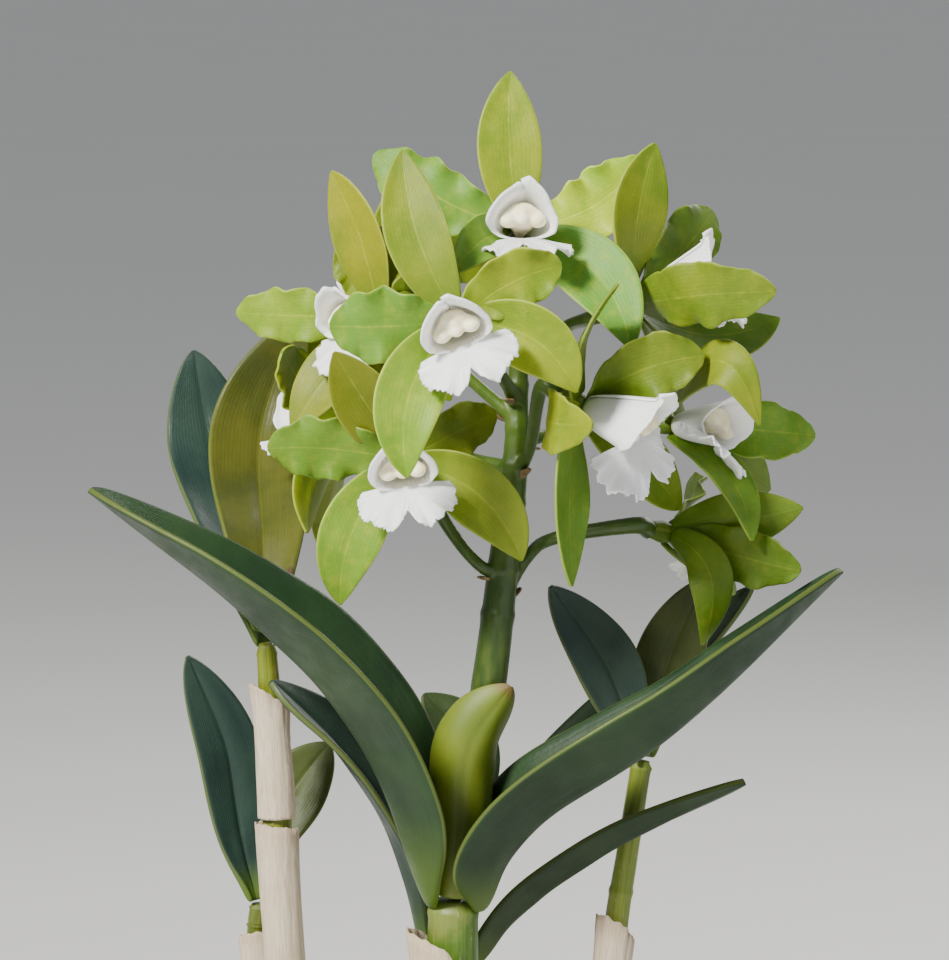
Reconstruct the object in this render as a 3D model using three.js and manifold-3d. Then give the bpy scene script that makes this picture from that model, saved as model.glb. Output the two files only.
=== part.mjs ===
// A potted cattleya orchid of the kind with two leaves to a cane: a clay pot of
// fir bark, a creeping rhizome with six canes, twelve leaves, and one spray of
// ten green blooms with white lips. Millimetres, +Z up, the origin at the
// middle of the pot's foot. The front of the plant faces -Y.
import * as THREE from "three";
import { mergeVertices } from "three/addons/utils/BufferGeometryUtils.js";
import Module from "manifold-3d";

const wasm = await Module();
wasm.setup();

// Pot and bark.
const POT_HEIGHT = 118;
const POT_RIM_RADIUS = 75;
const POT_RIM_HEIGHT = 22;
const POT_RIM_STEP = 4;
const POT_FOOT_RADIUS = 50;
const POT_WALL = 6;
const POT_FLOOR = 8;
const POT_SIDES = 28;
const DRAIN_HOLE_RADIUS = 6;
const DRAIN_HOLE_CIRCLE = 30;
const DRAIN_HOLES = 4;
const BARK_LEVEL = 104;
const BARK_CHIPS = 16;
const BARK_SEED = 11;

// Clear space between pieces that touch.
const GAP = 0.4;
const LIP_CLEAR = 0.7;

// Thickness of the plant's thin pieces.
const TEPAL_THICK = 1;
const LIP_THICK = 0.9;
const LEAF_THICK = 2;
const SPATHE_THICK = 0.9;
const SHEATH_THICK = 0.7;
const SHEATH_WRAP = 160;
const SHEATH_COLUMNS = 7;
const PEDICEL_RADII = [1.9, 1.9, 2.6];

// Outlines of blades: share of the width kept at the root, where along the
// blade it is widest, and how blunt its end is.
const SEPAL = { root: 0.3, widest: 1, blunt: 0.74 };
const PETAL = { root: 0.2, widest: 1.25, blunt: 0.56 };
const STRAP = { root: 0.4, widest: 0.95, blunt: 0.55 };
const LANCE = { root: 0.3, widest: 1.4, blunt: 0.66 };
const SPATHE = { root: 0.66, widest: 1, blunt: 0.62 };

// The lip of a bloom, along its own axes: x to the right, y up, z forward.
const LIP_BASE = 1.1;
const HOOD_TOP = 24.5;
const HOOD_BOTTOM = 15;
const HOOD_WIDE = 9.6;
const HOOD_HIGH = 7.8;
const HOOD_THROAT = 2.4;
const HOOD_TURN = 176.5;
const HOOD_FLAT = 0.38;
const FAN_ROOT_Y = -4.1;
const FAN_ROOT_Z = 14.5;
const FAN_DROOP = 42;
const FAN_REACH = 14.8;
const FAN_SPREAD = 98;
const FAN_START = 0.4;
const NECK_SHARE = 0.12;
const NECK_HALF = 3;
const NECK_REACH = 1.4;
const COLUMN_LENGTH = 18;
const TEPAL_ROOT = 2.6;
const SEPAL_BEHIND = 1.4;
const HUB_RADIUS = 3.4;
const HUB_BACK = 3.8;
const HUB_FRONT = 0.4;

// A tepal by the place of its tip and its width. Arch bends it forward, sway
// bends it to a side, and over is a point that its rib bends towards instead.
const TEPALS = ["dorsal", "left_petal", "right_petal", "left_sepal", "right_sepal"];
const sepal = (tip, width, more) => ({
  outline: SEPAL,
  tip,
  width,
  arch: 3,
  sway: 0,
  cup: [10, 24, 14],
  ...more,
});
const petal = (tip, width, more) => ({
  outline: PETAL,
  tip,
  width,
  arch: 3,
  sway: 0,
  cup: [10, 6, -8],
  wave: 1.6,
  waves: 3,
  phase: 0.3,
  ...more,
});
const strap = (width, rib, face, more) => ({ outline: STRAP, width, rib, face, ...more });
const lance = (width, rib, face, more) => ({ outline: LANCE, width, rib, face, ...more });

// Each bloom: where its hub is, how it is turned (yaw to the right, pitch up,
// roll about its own axis), and its five tepals by the place of their tips.
const BLOOMS = {
  a: {
    hub: [18, -4, 456.5],
    yaw: 3,
    pitch: 14,
    roll: 0,
    size: 0.94,
    droop: 22,
    dorsal: sepal([15.5, 4, 501], 18.4, { arch: 1.5, sway: -1.6, cup: [10, 16, 10] }),
    left_petal: petal([-22, 2, 478.5], 18.5, {
      arch: 2.5,
      sway: -3,
      cup: [10, 6, -6],
      wave: 2.2,
      waves: 3.6,
      phase: 0.1,
    }),
    right_petal: petal([52.5, 6, 477], 19, {
      arch: 1,
      sway: 4.5,
      cup: [10, 8, 0],
      wave: 2.2,
      waves: 3.4,
      phase: 0.5,
    }),
    left_sepal: sepal([-1, -34, 447], 14, { arch: 5, sway: 3, cup: [10, 30, 40] }),
    right_sepal: sepal([48.5, -24, 426], 20, { sway: -7, cup: [10, 18, 14] }),
  },
  b: {
    hub: [0.5, -44, 435.5],
    yaw: 2,
    pitch: -6,
    roll: -22,
    size: 0.96,
    dorsal: sepal([-14, -32, 481], 18, { arch: 2, sway: -3 }),
    left_petal: petal([-33.5, -46, 434.5], 21, { wave: 1.8, phase: 0.2 }),
    right_petal: petal([29, -44, 450.5], 17.5, { sway: -3, cup: [10, 24, 30], phase: 0.6 }),
    left_sepal: sepal([-12.5, -57, 394.5], 19.5, { arch: 4, sway: 6.5, cup: [10, 22, 18] }),
    right_sepal: sepal([33, -47, 416.5], 19, { sway: -7, cup: [10, 24, 20] }),
  },
  e: {
    hub: [-14, -20, 395],
    yaw: 0,
    pitch: -8,
    roll: -8,
    size: 0.94,
    droop: 38,
    dorsal: sepal([-33, -26, 425.5], 18, { arch: 2 }),
    left_petal: petal([-51.5, -22, 398.5], 18, { arch: 2, sway: 2, wave: 2, waves: 3.4 }),
    right_petal: petal([11.5, -12, 407], 14.5, {
      arch: 2,
      sway: -1,
      cup: [10, 10, 0],
      wave: 1.4,
      phase: 0.6,
    }),
    left_sepal: sepal([-31.5, -22, 355], 18.5, { arch: 4, sway: 5.5, cup: [10, 18, 14] }),
    right_sepal: sepal([18.5, -24, 367.5], 19, { arch: 4, sway: -7, cup: [10, 24, 20] }),
  },
  d: {
    hub: [-21.5, 2, 432.5],
    yaw: -34,
    pitch: -2,
    roll: -8,
    size: 0.9,
    coarse: true,
    dorsal: sepal([-34.5, 8, 473], 17.5, { arch: 1, sway: 3 }),
    left_petal: petal([-62, 24, 432], 15.5, { arch: 2, wave: 2, waves: 3.4 }),
    right_petal: petal([-13, 16, 460.5], 17, { cup: [10, 10, 0], wave: 1.4, phase: 0.6 }),
    left_sepal: sepal([-45.5, -4, 401.5], 17, { cup: [10, 18, 14] }),
    right_sepal: sepal([-28.5, -4, 401.5], 17, { cup: [10, 24, 20] }),
  },
  f: {
    hub: [-31.5, 26, 399.5],
    yaw: -125,
    pitch: 0,
    roll: 0,
    size: 0.9,
    droop: 10,
    coarse: true,
    dorsal: sepal([-36, 34, 434.5], 18),
    left_petal: petal([-45, 50, 404], 17, { wave: 2 }),
    right_petal: petal([-48.5, 6, 422.5], 17, { cup: [10, 10, 0], phase: 0.6 }),
    left_sepal: sepal([-36.5, 46, 358], 17, { cup: [10, 18, 14] }),
    right_sepal: sepal([-42, 12, 370.5], 16, { arch: 4, cup: [10, 24, 20] }),
  },
  k: {
    hub: [-16, 44, 434],
    yaw: -150,
    pitch: 14,
    roll: 0,
    coarse: true,
    dorsal: sepal([-12.5, 40, 471.5], 18),
    left_petal: petal([13, 58, 450], 18, { wave: 2 }),
    right_petal: petal([-34, 50, 449], 17, { cup: [10, 10, 0], phase: 0.6 }),
    left_sepal: sepal([-1.5, 60, 403], 17, { cup: [10, 18, 14] }),
    right_sepal: sepal([-25, 62, 403], 17, { cup: [10, 24, 20] }),
  },
  c: {
    hub: [51.5, -2, 437],
    yaw: 86,
    pitch: 18,
    roll: 0,
    size: 1.06,
    droop: 34,
    dorsal: sepal([55.5, -4, 481.5], 20, { arch: 1, sway: -3, face: [0.45, -1, 0.1], cup: [10, 14, 8] }),
    left_petal: petal([87.5, -34, 443], 19, { arch: -8, sway: 4, face: [0.2, 1, 0.25], waves: 3.4 }),
    right_petal: petal([73, 26, 460.5], 19, { face: [0.45, -1, 0.2], cup: [10, 10, 0], phase: 0.6 }),
    left_sepal: sepal([67.5, 6, 413.5], 16, { arch: -3, cup: [10, 18, 14] }),
    right_sepal: sepal([92, 22, 430.5], 20, {
      arch: -4,
      sway: 5,
      face: [0.2, -0.8, 0.6],
      cup: [10, 24, 20],
    }),
  },
  g: {
    hub: [35.5, -24, 410.5],
    yaw: 60,
    pitch: -18,
    roll: -17,
    size: 1.1,
    dorsal: sepal([44.5, -35, 445], 17.5, {
      over: [29, -34, 426.5],
      face: [0.88, -0.12, 0.4],
      cup: [14, 10, 6],
    }),
    left_petal: petal([37, -64, 409.5], 17.5, { over: [15.5, -40, 407], face: [0.93, 0.37, 0], wave: 1.2 }),
    right_petal: petal([68.5, -23, 424], 18, {
      arch: 4,
      sway: -2,
      face: [0.2, -1, 0.3],
      cup: [10, 14, 8],
      wave: 1.4,
      phase: 0.6,
    }),
    left_sepal: sepal([32, -36, 362], 18, {
      over: [30, -40, 392],
      face: [0.8, -0.6, 0.1],
      cup: [10, 18, 14],
    }),
    right_sepal: sepal([63.5, 6, 378], 17, { cup: [10, 24, 20] }),
  },
  h: {
    hub: [61.5, 10, 401.5],
    yaw: 54,
    pitch: 0,
    roll: 34,
    size: 0.92,
    droop: 24,
    dorsal: sepal([60.5, 48, 409.5], 17),
    left_petal: sepal([83.5, -28, 405.5], 14, {
      over: [73, -38, 441],
      face: [-0.1, 1, -0.3],
      cup: [10, 10, 8],
    }),
    right_petal: petal([102.5, 26, 396.5], 16.5, {
      face: [0.3, -1, 0.2],
      cup: [10, 10, 0],
      wave: 1.8,
      waves: 3.4,
      phase: 0.6,
    }),
    left_sepal: sepal([83, -6, 370.5], 14, {
      arch: 4,
      sway: -4,
      face: [0.5, -0.8, 0.4],
      cup: [10, 18, 14],
    }),
    right_sepal: sepal([91, 46, 378.5], 17, { cup: [10, 24, 20] }),
  },
  j: {
    hub: [60.5, 14, 370],
    yaw: 128,
    pitch: -14,
    roll: 14,
    size: 0.92,
    droop: 16,
    coarse: true,
    dorsal: sepal([98, 6, 378.5], 17, { arch: -2, face: [0.3, 1, 0.2] }),
    left_petal: petal([97, -2, 361.5], 16.5, { arch: -2, face: [0.2, 1, 0.1] }),
    right_petal: petal([68.5, 60, 379.5], 17, { cup: [10, 10, 0], phase: 0.6 }),
    left_sepal: sepal([69.5, 2, 340], 13, {
      over: [78, -8, 365.5],
      face: [-0.3, 1, 0.2],
      cup: [10, 18, 14],
    }),
    right_sepal: sepal([82, 60, 347], 17, { cup: [10, 24, 20] }),
  },
};

// Each leaf: its widest, the points of its rib, and the way its upper face looks
// at its root and at its tip.
const LEAVES = {
  main_left: strap(
    46,
    [[-7.5, 0, 266], [-25.5, -13, 313.5], [-55.5, -20, 350], [-101.5, -10, 385.5]],
    [[0.9, -0.1, 0.25], [0.45, -0.1, 1]],
    {
      cup: [62, 42, 20, 14, 10, 6],
      fold: [0, 24, 34, 34, 28, 16],
    },
  ),
  main_right: strap(
    38,
    [[8, -1, 265], [21.5, -10, 289.5], [62.5, -17, 319.5], [108.5, 0, 361.5]],
    [[-0.9, 0.05, 0.3], [-0.5, 0.05, 1]],
    {
      cup: [62, 36, 14, 10, 8, 6],
      fold: [0, 28, 44, 46, 38, 18],
    },
  ),
  second_left: lance(
    24,
    [[-8.5, 18, 244], [-16, 14, 278], [-31.5, 8, 307], [-52, 2, 329.5]],
    [[0.9, -0.1, 0.25], [0.45, -0.5, 1]],
    {
      cup: [80, 40, 14, 8, 6, 4],
      fold: [0, 20, 24, 24, 20, 10],
    },
  ),
  second_right: strap(
    17,
    [[5, 16, 244], [19.5, 13, 262], [46.5, 8, 282], [82, 4, 300.5]],
    [[-0.9, 0.2, 0.25], [-0.3, 0.7, 1]],
    {
      cup: [80, 30, 10, 6, 4, 4],
      fold: [0, 20, 28, 28, 20, 10],
    },
  ),
  left_tall_a: lance(
    27,
    [[-54, 13, 337], [-62, 36, 359.5], [-72, 72, 387], [-77.5, 78, 416]],
    [[0.5, -1, 0.1], [0.1, -1, 0.1]],
    {
      cup: [70, 20, 8, 6, 4, 2],
      fold: [0, 8, 10, 8, 6, 4],
    },
  ),
  left_tall_b: lance(
    31,
    [[-53.5, 7, 342.5], [-55, 26, 366.5], [-57, 64, 394], [-46, 68, 426.5]],
    [[0.1, -1, 0], [0.1, -1, 0.1]],
    {
      cup: [70, 24, 10, 8, 6, 4],
      fold: [0, 8, 12, 10, 6, 4],
    },
  ),
  left_low_a: lance(
    19,
    [[-57.5, 24, 262], [-62, 26, 280.5], [-66, 26, 307.5], [-76.5, 22, 333.5]],
    [[0.5, -1, 0.1], [0.2, -1, 0.1]],
    {
      cup: [70, 20, 8, 6, 4, 2],
      fold: [0, 8, 10, 8, 6, 4],
    },
  ),
  left_low_b: lance(
    20,
    [[-56, 26, 262.5], [-53.5, 30, 278.5], [-46, 34, 293], [-36.5, 36, 306]],
    [[-0.3, -1, 0.1], [-0.2, -1, 0.1]],
    {
      cup: [70, 20, 8, 6, 4, 2],
      fold: [0, 8, 10, 8, 6, 4],
    },
  ),
  right_tall_a: lance(
    19.5,
    [[53, 18, 304.5], [48, 16, 319], [41.5, 14, 335], [27, 10, 355.5]],
    [[0.4, -1, 0.1], [0.3, -1, 0.1]],
    {
      cup: [70, 20, 8, 6, 4, 2],
      fold: [0, 8, 10, 8, 6, 4],
    },
  ),
  right_tall_b: lance(
    20,
    [[54.5, 24, 304], [57.5, 27, 318.5], [62.5, 27, 335], [71, 24, 355.5]],
    [[-0.3, -1, 0.1], [-0.2, -1, 0.1]],
    {
      cup: [70, 20, 8, 6, 4, 2],
      fold: [0, 8, 10, 8, 6, 4],
    },
  ),
  back_left: lance(
    18,
    [[-1.5, 40, 261.5], [3, 46, 285.5], [3, 50, 304.5], [-9.5, 52, 317.5]],
    [[0.3, -1, 0.1], [0.3, -1, 0.3]],
    {
      cup: [70, 20, 8, 6, 4, 2],
      fold: [0, 8, 10, 8, 6, 4],
    },
  ),
  back_right: lance(
    24,
    [[2.5, 40, 261.5], [21.5, 48, 285], [54, 58, 315], [87, 62, 347.5]],
    [[-0.8, -0.6, 0.3], [-0.5, -0.6, 0.9]],
    {
      cup: [70, 20, 8, 6, 4, 2],
      fold: [0, 14, 16, 14, 8, 4],
    },
  ),
};

// The canes, from the rhizome to the joint under the leaves.
const CANES = {
  cane_main: {
    points: [[4, -8, 114.5], [2, -4, 165], [-1, -1, 220], [-0.5, 0, 267.5]],
    radii: [4.6, 6.6, 8.2, 7],
    rings: 9,
    sides: 12,
  },
  cane_second: {
    points: [[-4, 17, 114.5], [-5, 17, 160], [-3, 18, 210], [-2, 17, 247]],
    radii: [4.2, 6, 6.6, 5.8],
    rings: 7,
    sides: 10,
  },
  cane_left_tall: {
    points: [[-34, 16, 114.5], [-44, 12, 190], [-49.5, 8, 264], [-51, 8, 300], [-53.5, 9, 339.5]],
    radii: [3.6, 4.6, 4.3, 4, 2.8],
    rings: 12,
    sides: 10,
  },
  cane_left_low: {
    points: [[-50, 10, 114.5], [-54, 18, 180], [-57, 25, 244.5], [-56.5, 25, 261]],
    radii: [3.4, 4.2, 3.2, 2.8],
    rings: 6,
    sides: 10,
  },
  cane_right_tall: {
    points: [[34, 14, 114], [41, 18, 190], [45.5, 20, 248.5], [49.5, 20, 277.5], [53.5, 21, 303.5]],
    radii: [3.4, 4.4, 3.6, 3.2, 3],
    rings: 11,
    sides: 10,
  },
  cane_back: {
    points: [[10, 42, 114.5], [6, 44, 170], [0, 43, 230], [0, 42, 260.5]],
    radii: [3.6, 5.4, 5, 4.2],
    rings: 7,
    sides: 10,
  },
};

// The flower stalk, and where the stem of each bloom leaves it and passes.
const RACHIS = {
  points: [[-0.5, 0, 268.5], [4, 0, 299], [9.5, 0, 329], [13.5, 2, 361.5], [17, 6, 392], [18, 9, 424]],
  radii: [2.9, 3.6, 5, 4.4, 3.6, 2.4],
  rings: 12,
  sides: 8,
};
const PEDICELS = {
  a: [[18, 9, 422], [19, 10, 439.5]],
  b: [[17.5, 8, 408.5], [11, -8, 420]],
  c: [[18, 8, 416.5], [29.5, 10, 428]],
  d: [[17.5, 7, 403], [1.5, 10, 417]],
  e: [[13.5, 2, 360], [6.5, -2, 363.5], [-3, 0, 375.5]],
  f: [[17, 6, 389], [-4.5, 22, 393]],
  g: [[17, 5, 387], [21, -2, 396.5]],
  h: [[17.5, 6, 397.5], [35.5, 18, 399]],
  j: [[12.5, 1, 352], [20.5, 6, 364.5], [28.5, 12, 369]],
  k: [[18, 9, 420], [4, 20, 430]],
};

// The spathe, rolled round the foot of the flower stalk.
const SPATHE_BLADE = {
  outline: SPATHE,
  width: 32,
  rib: [[0, -5.5, 268.5], [1.5, -6.5, 288.5], [4, -9, 312], [15.5, -8, 330]],
  face: [[0, 1, 0.1], [-0.1, 1, 0.3]],
  cup: [120, 112, 108, 90, 50],
};


// The rhizome creeps over the bark and bears every cane. Its second run leaves
// the first, and a few roots go from it into the bark.
const RHIZOME_LEVEL = 108.8;
const RHIZOME_RADII = [4.6, 5, 5.2, 4.8, 5, 5, 4.4];
const RHIZOME = [
  [[-54, 8], [-44, 13], [-34, 16], [-18, 19], [-4, 17], [2, 4], [6, -14]],
  [[-4, 17], [0, 32], [10, 42], [24, 34], [36, 12]],
];
const ROOT_RADII = [1.6, 1.5, 1.3];
const ROOT_LEVELS = [108, 109, 103.5];
const ROOTS = [
  [[-34, 16], [-38, 30], [-44, 44]],
  [[-18, 19], [-22, 2], [-30, -14]],
  [[2, 4], [20, -2], [34, -12]],
  [[6, -12], [-4, -26], [-8, -42]],
];

// Papery sheaths: the cane they wrap, from where to where along it, how far
// the top edge climbs to one side, and how far it peels off there. Turn is the
// side where the edge climbs, counted from the front to the right.
const wrap = (cane, from, to, climb, turn, peel, rows) => ({ cane, from, to, climb, turn, peel, rows });
const SHEATHS = {
  sheath_main: wrap("cane_main", 0.03, 0.84, 0.1, -80, 4.2, 5),
  sheath_second: wrap("cane_second", 0.03, 0.62, 0.08, 60, 1, 3),
  sheath_left_tall: wrap("cane_left_tall", 0.02, 0.64, 0.02, -60, 0.4, 7),
  sheath_left_upper: wrap("cane_left_tall", 0.67, 0.88, 0.05, -70, 0.7, 3),
  sheath_left_low: wrap("cane_left_low", 0.03, 0.72, 0.06, 30, 0.8, 3),
  sheath_right_tall: wrap("cane_right_tall", 0.03, 0.5, 0.07, -40, 1, 3),
  sheath_back: wrap("cane_back", 0.03, 0.7, 0.06, 90, 0.8, 3),
};

const COLOURS = {
  pot: "#b0603c",
  bark: "#5b3a24",
  rhizome: "#7a8048",
  cane: "#6f8a35",
  sheath: "#c9bda0",
  leaf: "#2f5a2c",
  spathe: "#8f9a3c",
  spray: "#6c8a3a",
  tepals: "#a9bd4a",
  lip: "#f4f2ea",
};

const rad = THREE.MathUtils.degToRad;
const lerp = THREE.MathUtils.lerp;
const clamp = THREE.MathUtils.clamp;
const vec = (p) => new THREE.Vector3(...p);
const range = (count) => Array.from({ length: count }, (_, i) => i);
const steps = (count, from = 0, to = 1) => range(count + 1).map((i) => lerp(from, to, i / count));

// Closed solids, and what is joined from them.
function solidOf(geometry) {
  const bare = new THREE.BufferGeometry();
  bare.setAttribute("position", geometry.getAttribute("position").clone());
  bare.setIndex(geometry.index.clone());
  const merged = mergeVertices(bare, 1e-4);
  const mesh = new wasm.Mesh({
    numProp: 3,
    vertProperties: new Float32Array(merged.attributes.position.array),
    triVerts: new Uint32Array(merged.index.array),
  });
  return new wasm.Manifold(mesh);
}

function geometryOf(solid) {
  const mesh = solid.getMesh();
  const geometry = new THREE.BufferGeometry();
  geometry.setAttribute("position", new THREE.BufferAttribute(new Float32Array(mesh.vertProperties), 3));
  geometry.setIndex(new THREE.BufferAttribute(new Uint32Array(mesh.triVerts), 1));
  return geometry;
}

const joined = (solids) => solids.reduce((all, next) => all.add(next));

const largest = (solid) => solid.decompose().reduce((a, b) => (a.volume() > b.volume() ? a : b));

function facets(points, faces) {
  const geometry = new THREE.BufferGeometry();
  geometry.setAttribute("position", new THREE.Float32BufferAttribute(points.flatMap((p) => p.toArray()), 3));
  geometry.setIndex(faces);
  return solidOf(geometry);
}

// A value that runs through a list of values from root to tip.
function along(values, t) {
  const at = clamp(t, 0, 1) * (values.length - 1);
  const i = Math.min(Math.floor(at), values.length - 2);
  return lerp(values[i], values[i + 1], at - i);
}

const smooth = (points) => new THREE.CatmullRomCurve3(points, false, "catmullrom", 0.5);

// The middle rib of a blade: through its points, or over one point in between.
const ribCurve = (points) =>
  points.length === 3 ? new THREE.QuadraticBezierCurve3(...points) : smooth(points);

function heading(curve, t) {
  const step = 1e-3;
  return curve.getPoint(Math.min(t + step, 1)).sub(curve.getPoint(Math.max(t - step, 0))).normalize();
}

// The part of a direction that is square to another one.
const square = (direction, ahead) =>
  direction.clone().addScaledVector(ahead, -direction.dot(ahead)).normalize();

// A surface in triangles, made a closed thin solid. Both of its faces are split
// alike, and its open edges are walled.
function thickened(points, triangles, thick) {
  const normals = points.map(() => new THREE.Vector3());
  const open = new Map();
  for (const [a, b, c] of triangles) {
    const normal = points[b].clone().sub(points[a]).cross(points[c].clone().sub(points[a]));
    for (const [from, to] of [[a, b], [b, c], [c, a]]) {
      normals[from].add(normal);
      if (!open.delete(`${to} ${from}`)) open.set(`${from} ${to}`, [from, to]);
    }
  }
  normals.forEach((normal) => normal.setLength(thick / 2));
  const offset = (side) => points.map((p, i) => p.clone().addScaledVector(normals[i], side));
  const back = points.length;
  const faces = triangles.flatMap(([a, b, c]) => [a, b, c, back + a, back + c, back + b]);
  for (const [from, to] of open.values()) {
    faces.push(to, from, back + from, to, back + from, back + to);
  }
  return facets([...offset(1), ...offset(-1)], faces);
}

// The triangles between rows of points that are as long as each other.
const gridTriangles = (rows, wide) =>
  range(rows - 1).flatMap((i) =>
    range(wide - 1).flatMap((j) => {
      const a = i * wide + j;
      const c = a + wide + 1;
      return [[a, a + 1, c], [a, c, a + wide]];
    }),
  );

// A surface of t from root to tip and u from side to side, made thin and solid.
function sheet(surface, rows, columns, thick) {
  const points = rows.flatMap((t) => columns.map((u) => surface(t, u)));
  return thickened(points, gridTriangles(rows.length, columns.length), thick);
}

// Rows of a blade, closer together towards its tip.
const bladeRows = (count, tip = 1.6) => steps(count).map((s) => 1 - (1 - s) ** tip);

// A body through rings of points, with a flat cap on each end.
function loft(rings) {
  const sides = rings[0].length;
  const points = rings.flat();
  const faces = [];
  const middle = (ring) => ring.reduce((sum, p) => sum.add(p), new THREE.Vector3()).divideScalar(sides);
  const last = (rings.length - 1) * sides;
  const start = points.length;
  points.push(middle(rings[0]), middle(rings.at(-1)));
  for (let j = 0; j < sides; j++) {
    const k = (j + 1) % sides;
    for (let row = 0; row < last; row += sides) {
      faces.push(row + j, row + k, row + sides + k);
      faces.push(row + j, row + sides + k, row + sides + j);
    }
    faces.push(start, k, j, start + 1, last + j, last + k);
  }
  return facets(points, faces);
}

// A stalk of changing thickness through points, made wider by grow.
function stalk({ points, radii, rings, sides }, grow = 0) {
  const curve = smooth(points);
  let out = Math.abs(heading(curve, 0).y) < 0.9 ? new THREE.Vector3(0, -1, 0) : new THREE.Vector3(1, 0, 0);
  return loft(
    steps(rings).map((t) => {
      const ahead = heading(curve, t);
      out = square(out, ahead);
      const end = (t === 1 ? grow : 0) - (t === 0 ? grow : 0);
      const centre = curve.getPoint(t).addScaledVector(ahead, end);
      return range(sides).map((j) => {
        const around = out.clone().applyAxisAngle(ahead, (2 * Math.PI * j) / sides);
        return centre.clone().addScaledVector(around, along(radii, t) + grow);
      });
    }),
  );
}

// A blade along its middle rib. Cup rolls both sides forward, fold makes a
// keel of the rib, and wave ruffles the margins.
function bladeSurface(blade) {
  const { outline, width, rib, face, cup, fold = [0, 0], wave = 0, waves = 3, phase = 0 } = blade;
  const { tipHalf = 0.5, turnEase = 1 } = blade;
  const curve = ribCurve(rib);
  return (t, u) => {
    const ahead = heading(curve, t);
    const up = square(face[0].clone().lerp(face[1], t ** turnEase), ahead);
    const side = ahead.clone().cross(up);
    const belly = Math.sin(Math.PI * clamp(t ** outline.widest, 0, 1)) ** outline.blunt;
    const scallop = Math.sin(2 * Math.PI * (waves * 1.3 * t + (u > 0 ? 0.2 : 0.55)));
    const half =
      Math.max(tipHalf, (width / 2) * (outline.root * (1 - t) ** 5 + belly)) *
      (1 + (wave / 26) * scallop * Math.abs(u));
    const curl = rad(along(cup, t)) * u + 1e-6;
    const radius = (half * u) / curl;
    const keel = rad(along(fold, t));
    const ruffle = Math.sin(2 * Math.PI * (waves * t + phase + (u > 0 ? 0 : 0.37)));
    const swell = Math.sqrt(Math.max(0, Math.sin(Math.PI * t ** 0.8)));
    const across = radius * Math.sin(curl) * Math.cos(keel);
    const rise = radius * (1 - Math.cos(curl)) + Math.abs(u) * half * Math.sin(keel);
    return curve
      .getPoint(t)
      .addScaledVector(side, across)
      .addScaledVector(up, rise + wave * u * u * ruffle * swell);
  };
}

function bladeSolid(blade, rows, columns, thick, grow = 0) {
  const edge = 1 + (2 * grow) / blade.width;
  return sheet(bladeSurface(blade), bladeRows(rows), steps(columns, -edge, edge), thick + 2 * grow);
}

// The axes of a bloom: to its right, up, and forward.
function bloomAxes({ yaw, pitch, roll }) {
  const [a, p, q] = [rad(yaw), rad(pitch), rad(roll)];
  const n = new THREE.Vector3(Math.sin(a) * Math.cos(p), -Math.cos(a) * Math.cos(p), Math.sin(p));
  const level = new THREE.Vector3(Math.cos(a), Math.sin(a), 0);
  const upright = n.clone().cross(level);
  const u = upright.clone().multiplyScalar(Math.cos(q)).addScaledVector(level, Math.sin(q));
  const r = level.multiplyScalar(Math.cos(q)).addScaledVector(upright, -Math.sin(q));
  return { r, u, n };
}

// A tepal's rib runs from the hub to its tip, over a point that arches it
// forward and sways it to a side.
function tepalBlade(tepal, hub, n) {
  const tip = vec(tepal.tip);
  const aim = vec(tepal.over ?? tepal.tip).sub(hub);
  const root = square(aim, n).multiplyScalar(TEPAL_ROOT).add(hub);
  const face = tepal.face ? vec(tepal.face).normalize() : n;
  const ahead = tip.clone().sub(root).normalize();
  const up = square(face, ahead);
  const side = ahead.clone().cross(up);
  const middle = root.clone().add(tip).divideScalar(2);
  middle.addScaledVector(up, 2 * tepal.arch).addScaledVector(side, 2 * tepal.sway);
  if (tepal.outline === SEPAL) root.addScaledVector(n, -SEPAL_BEHIND);
  const over = tepal.over ? vec(tepal.over) : middle;
  return { ...tepal, rib: [root, over, tip], face: [n, face], turnEase: 0.5 };
}

// The lip is one surface: a hood rolled round the column, with a neck in the
// middle of its lower edge that opens into a fan of two lobes.
function hoodPoint(s, v) {
  const turn = rad(HOOD_TURN) * v;
  const up = (1 - Math.cos(turn)) / 2;
  const swell = s ** 0.75 * (1.18 - 0.18 * s);
  const flat = HOOD_FLAT * Math.min(1, 1.5 * s);
  const flare = 1.2 * clamp((s - 0.82) / 0.18, 0, 1) ** 2 * Math.min(1, 4 * up);
  const wide = HOOD_THROAT + (HOOD_WIDE - HOOD_THROAT) * swell + flare;
  const high = HOOD_THROAT + (HOOD_HIGH - HOOD_THROAT) * swell + flare;
  return [
    wide * Math.sin(turn) * (1 - 0.12 * s * up ** 2),
    -high * Math.cos(turn) * (1 - flat * (1 - up)) + 2.2 * s * up ** 6 + 0.4 * s,
    LIP_BASE + s * (HOOD_BOTTOM + (HOOD_TOP - HOOD_BOTTOM) * up ** 0.8 - LIP_BASE) - 1.5 * flare,
  ];
}

// A point of the neck or the fan, which hang forward and down from their root.
function hung(across, ahead, lift, droop) {
  const [c, s] = [Math.cos(rad(droop)), Math.sin(rad(droop))];
  return [across, FAN_ROOT_Y - ahead * s + lift * c, FAN_ROOT_Z + ahead * c + lift * s];
}

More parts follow.
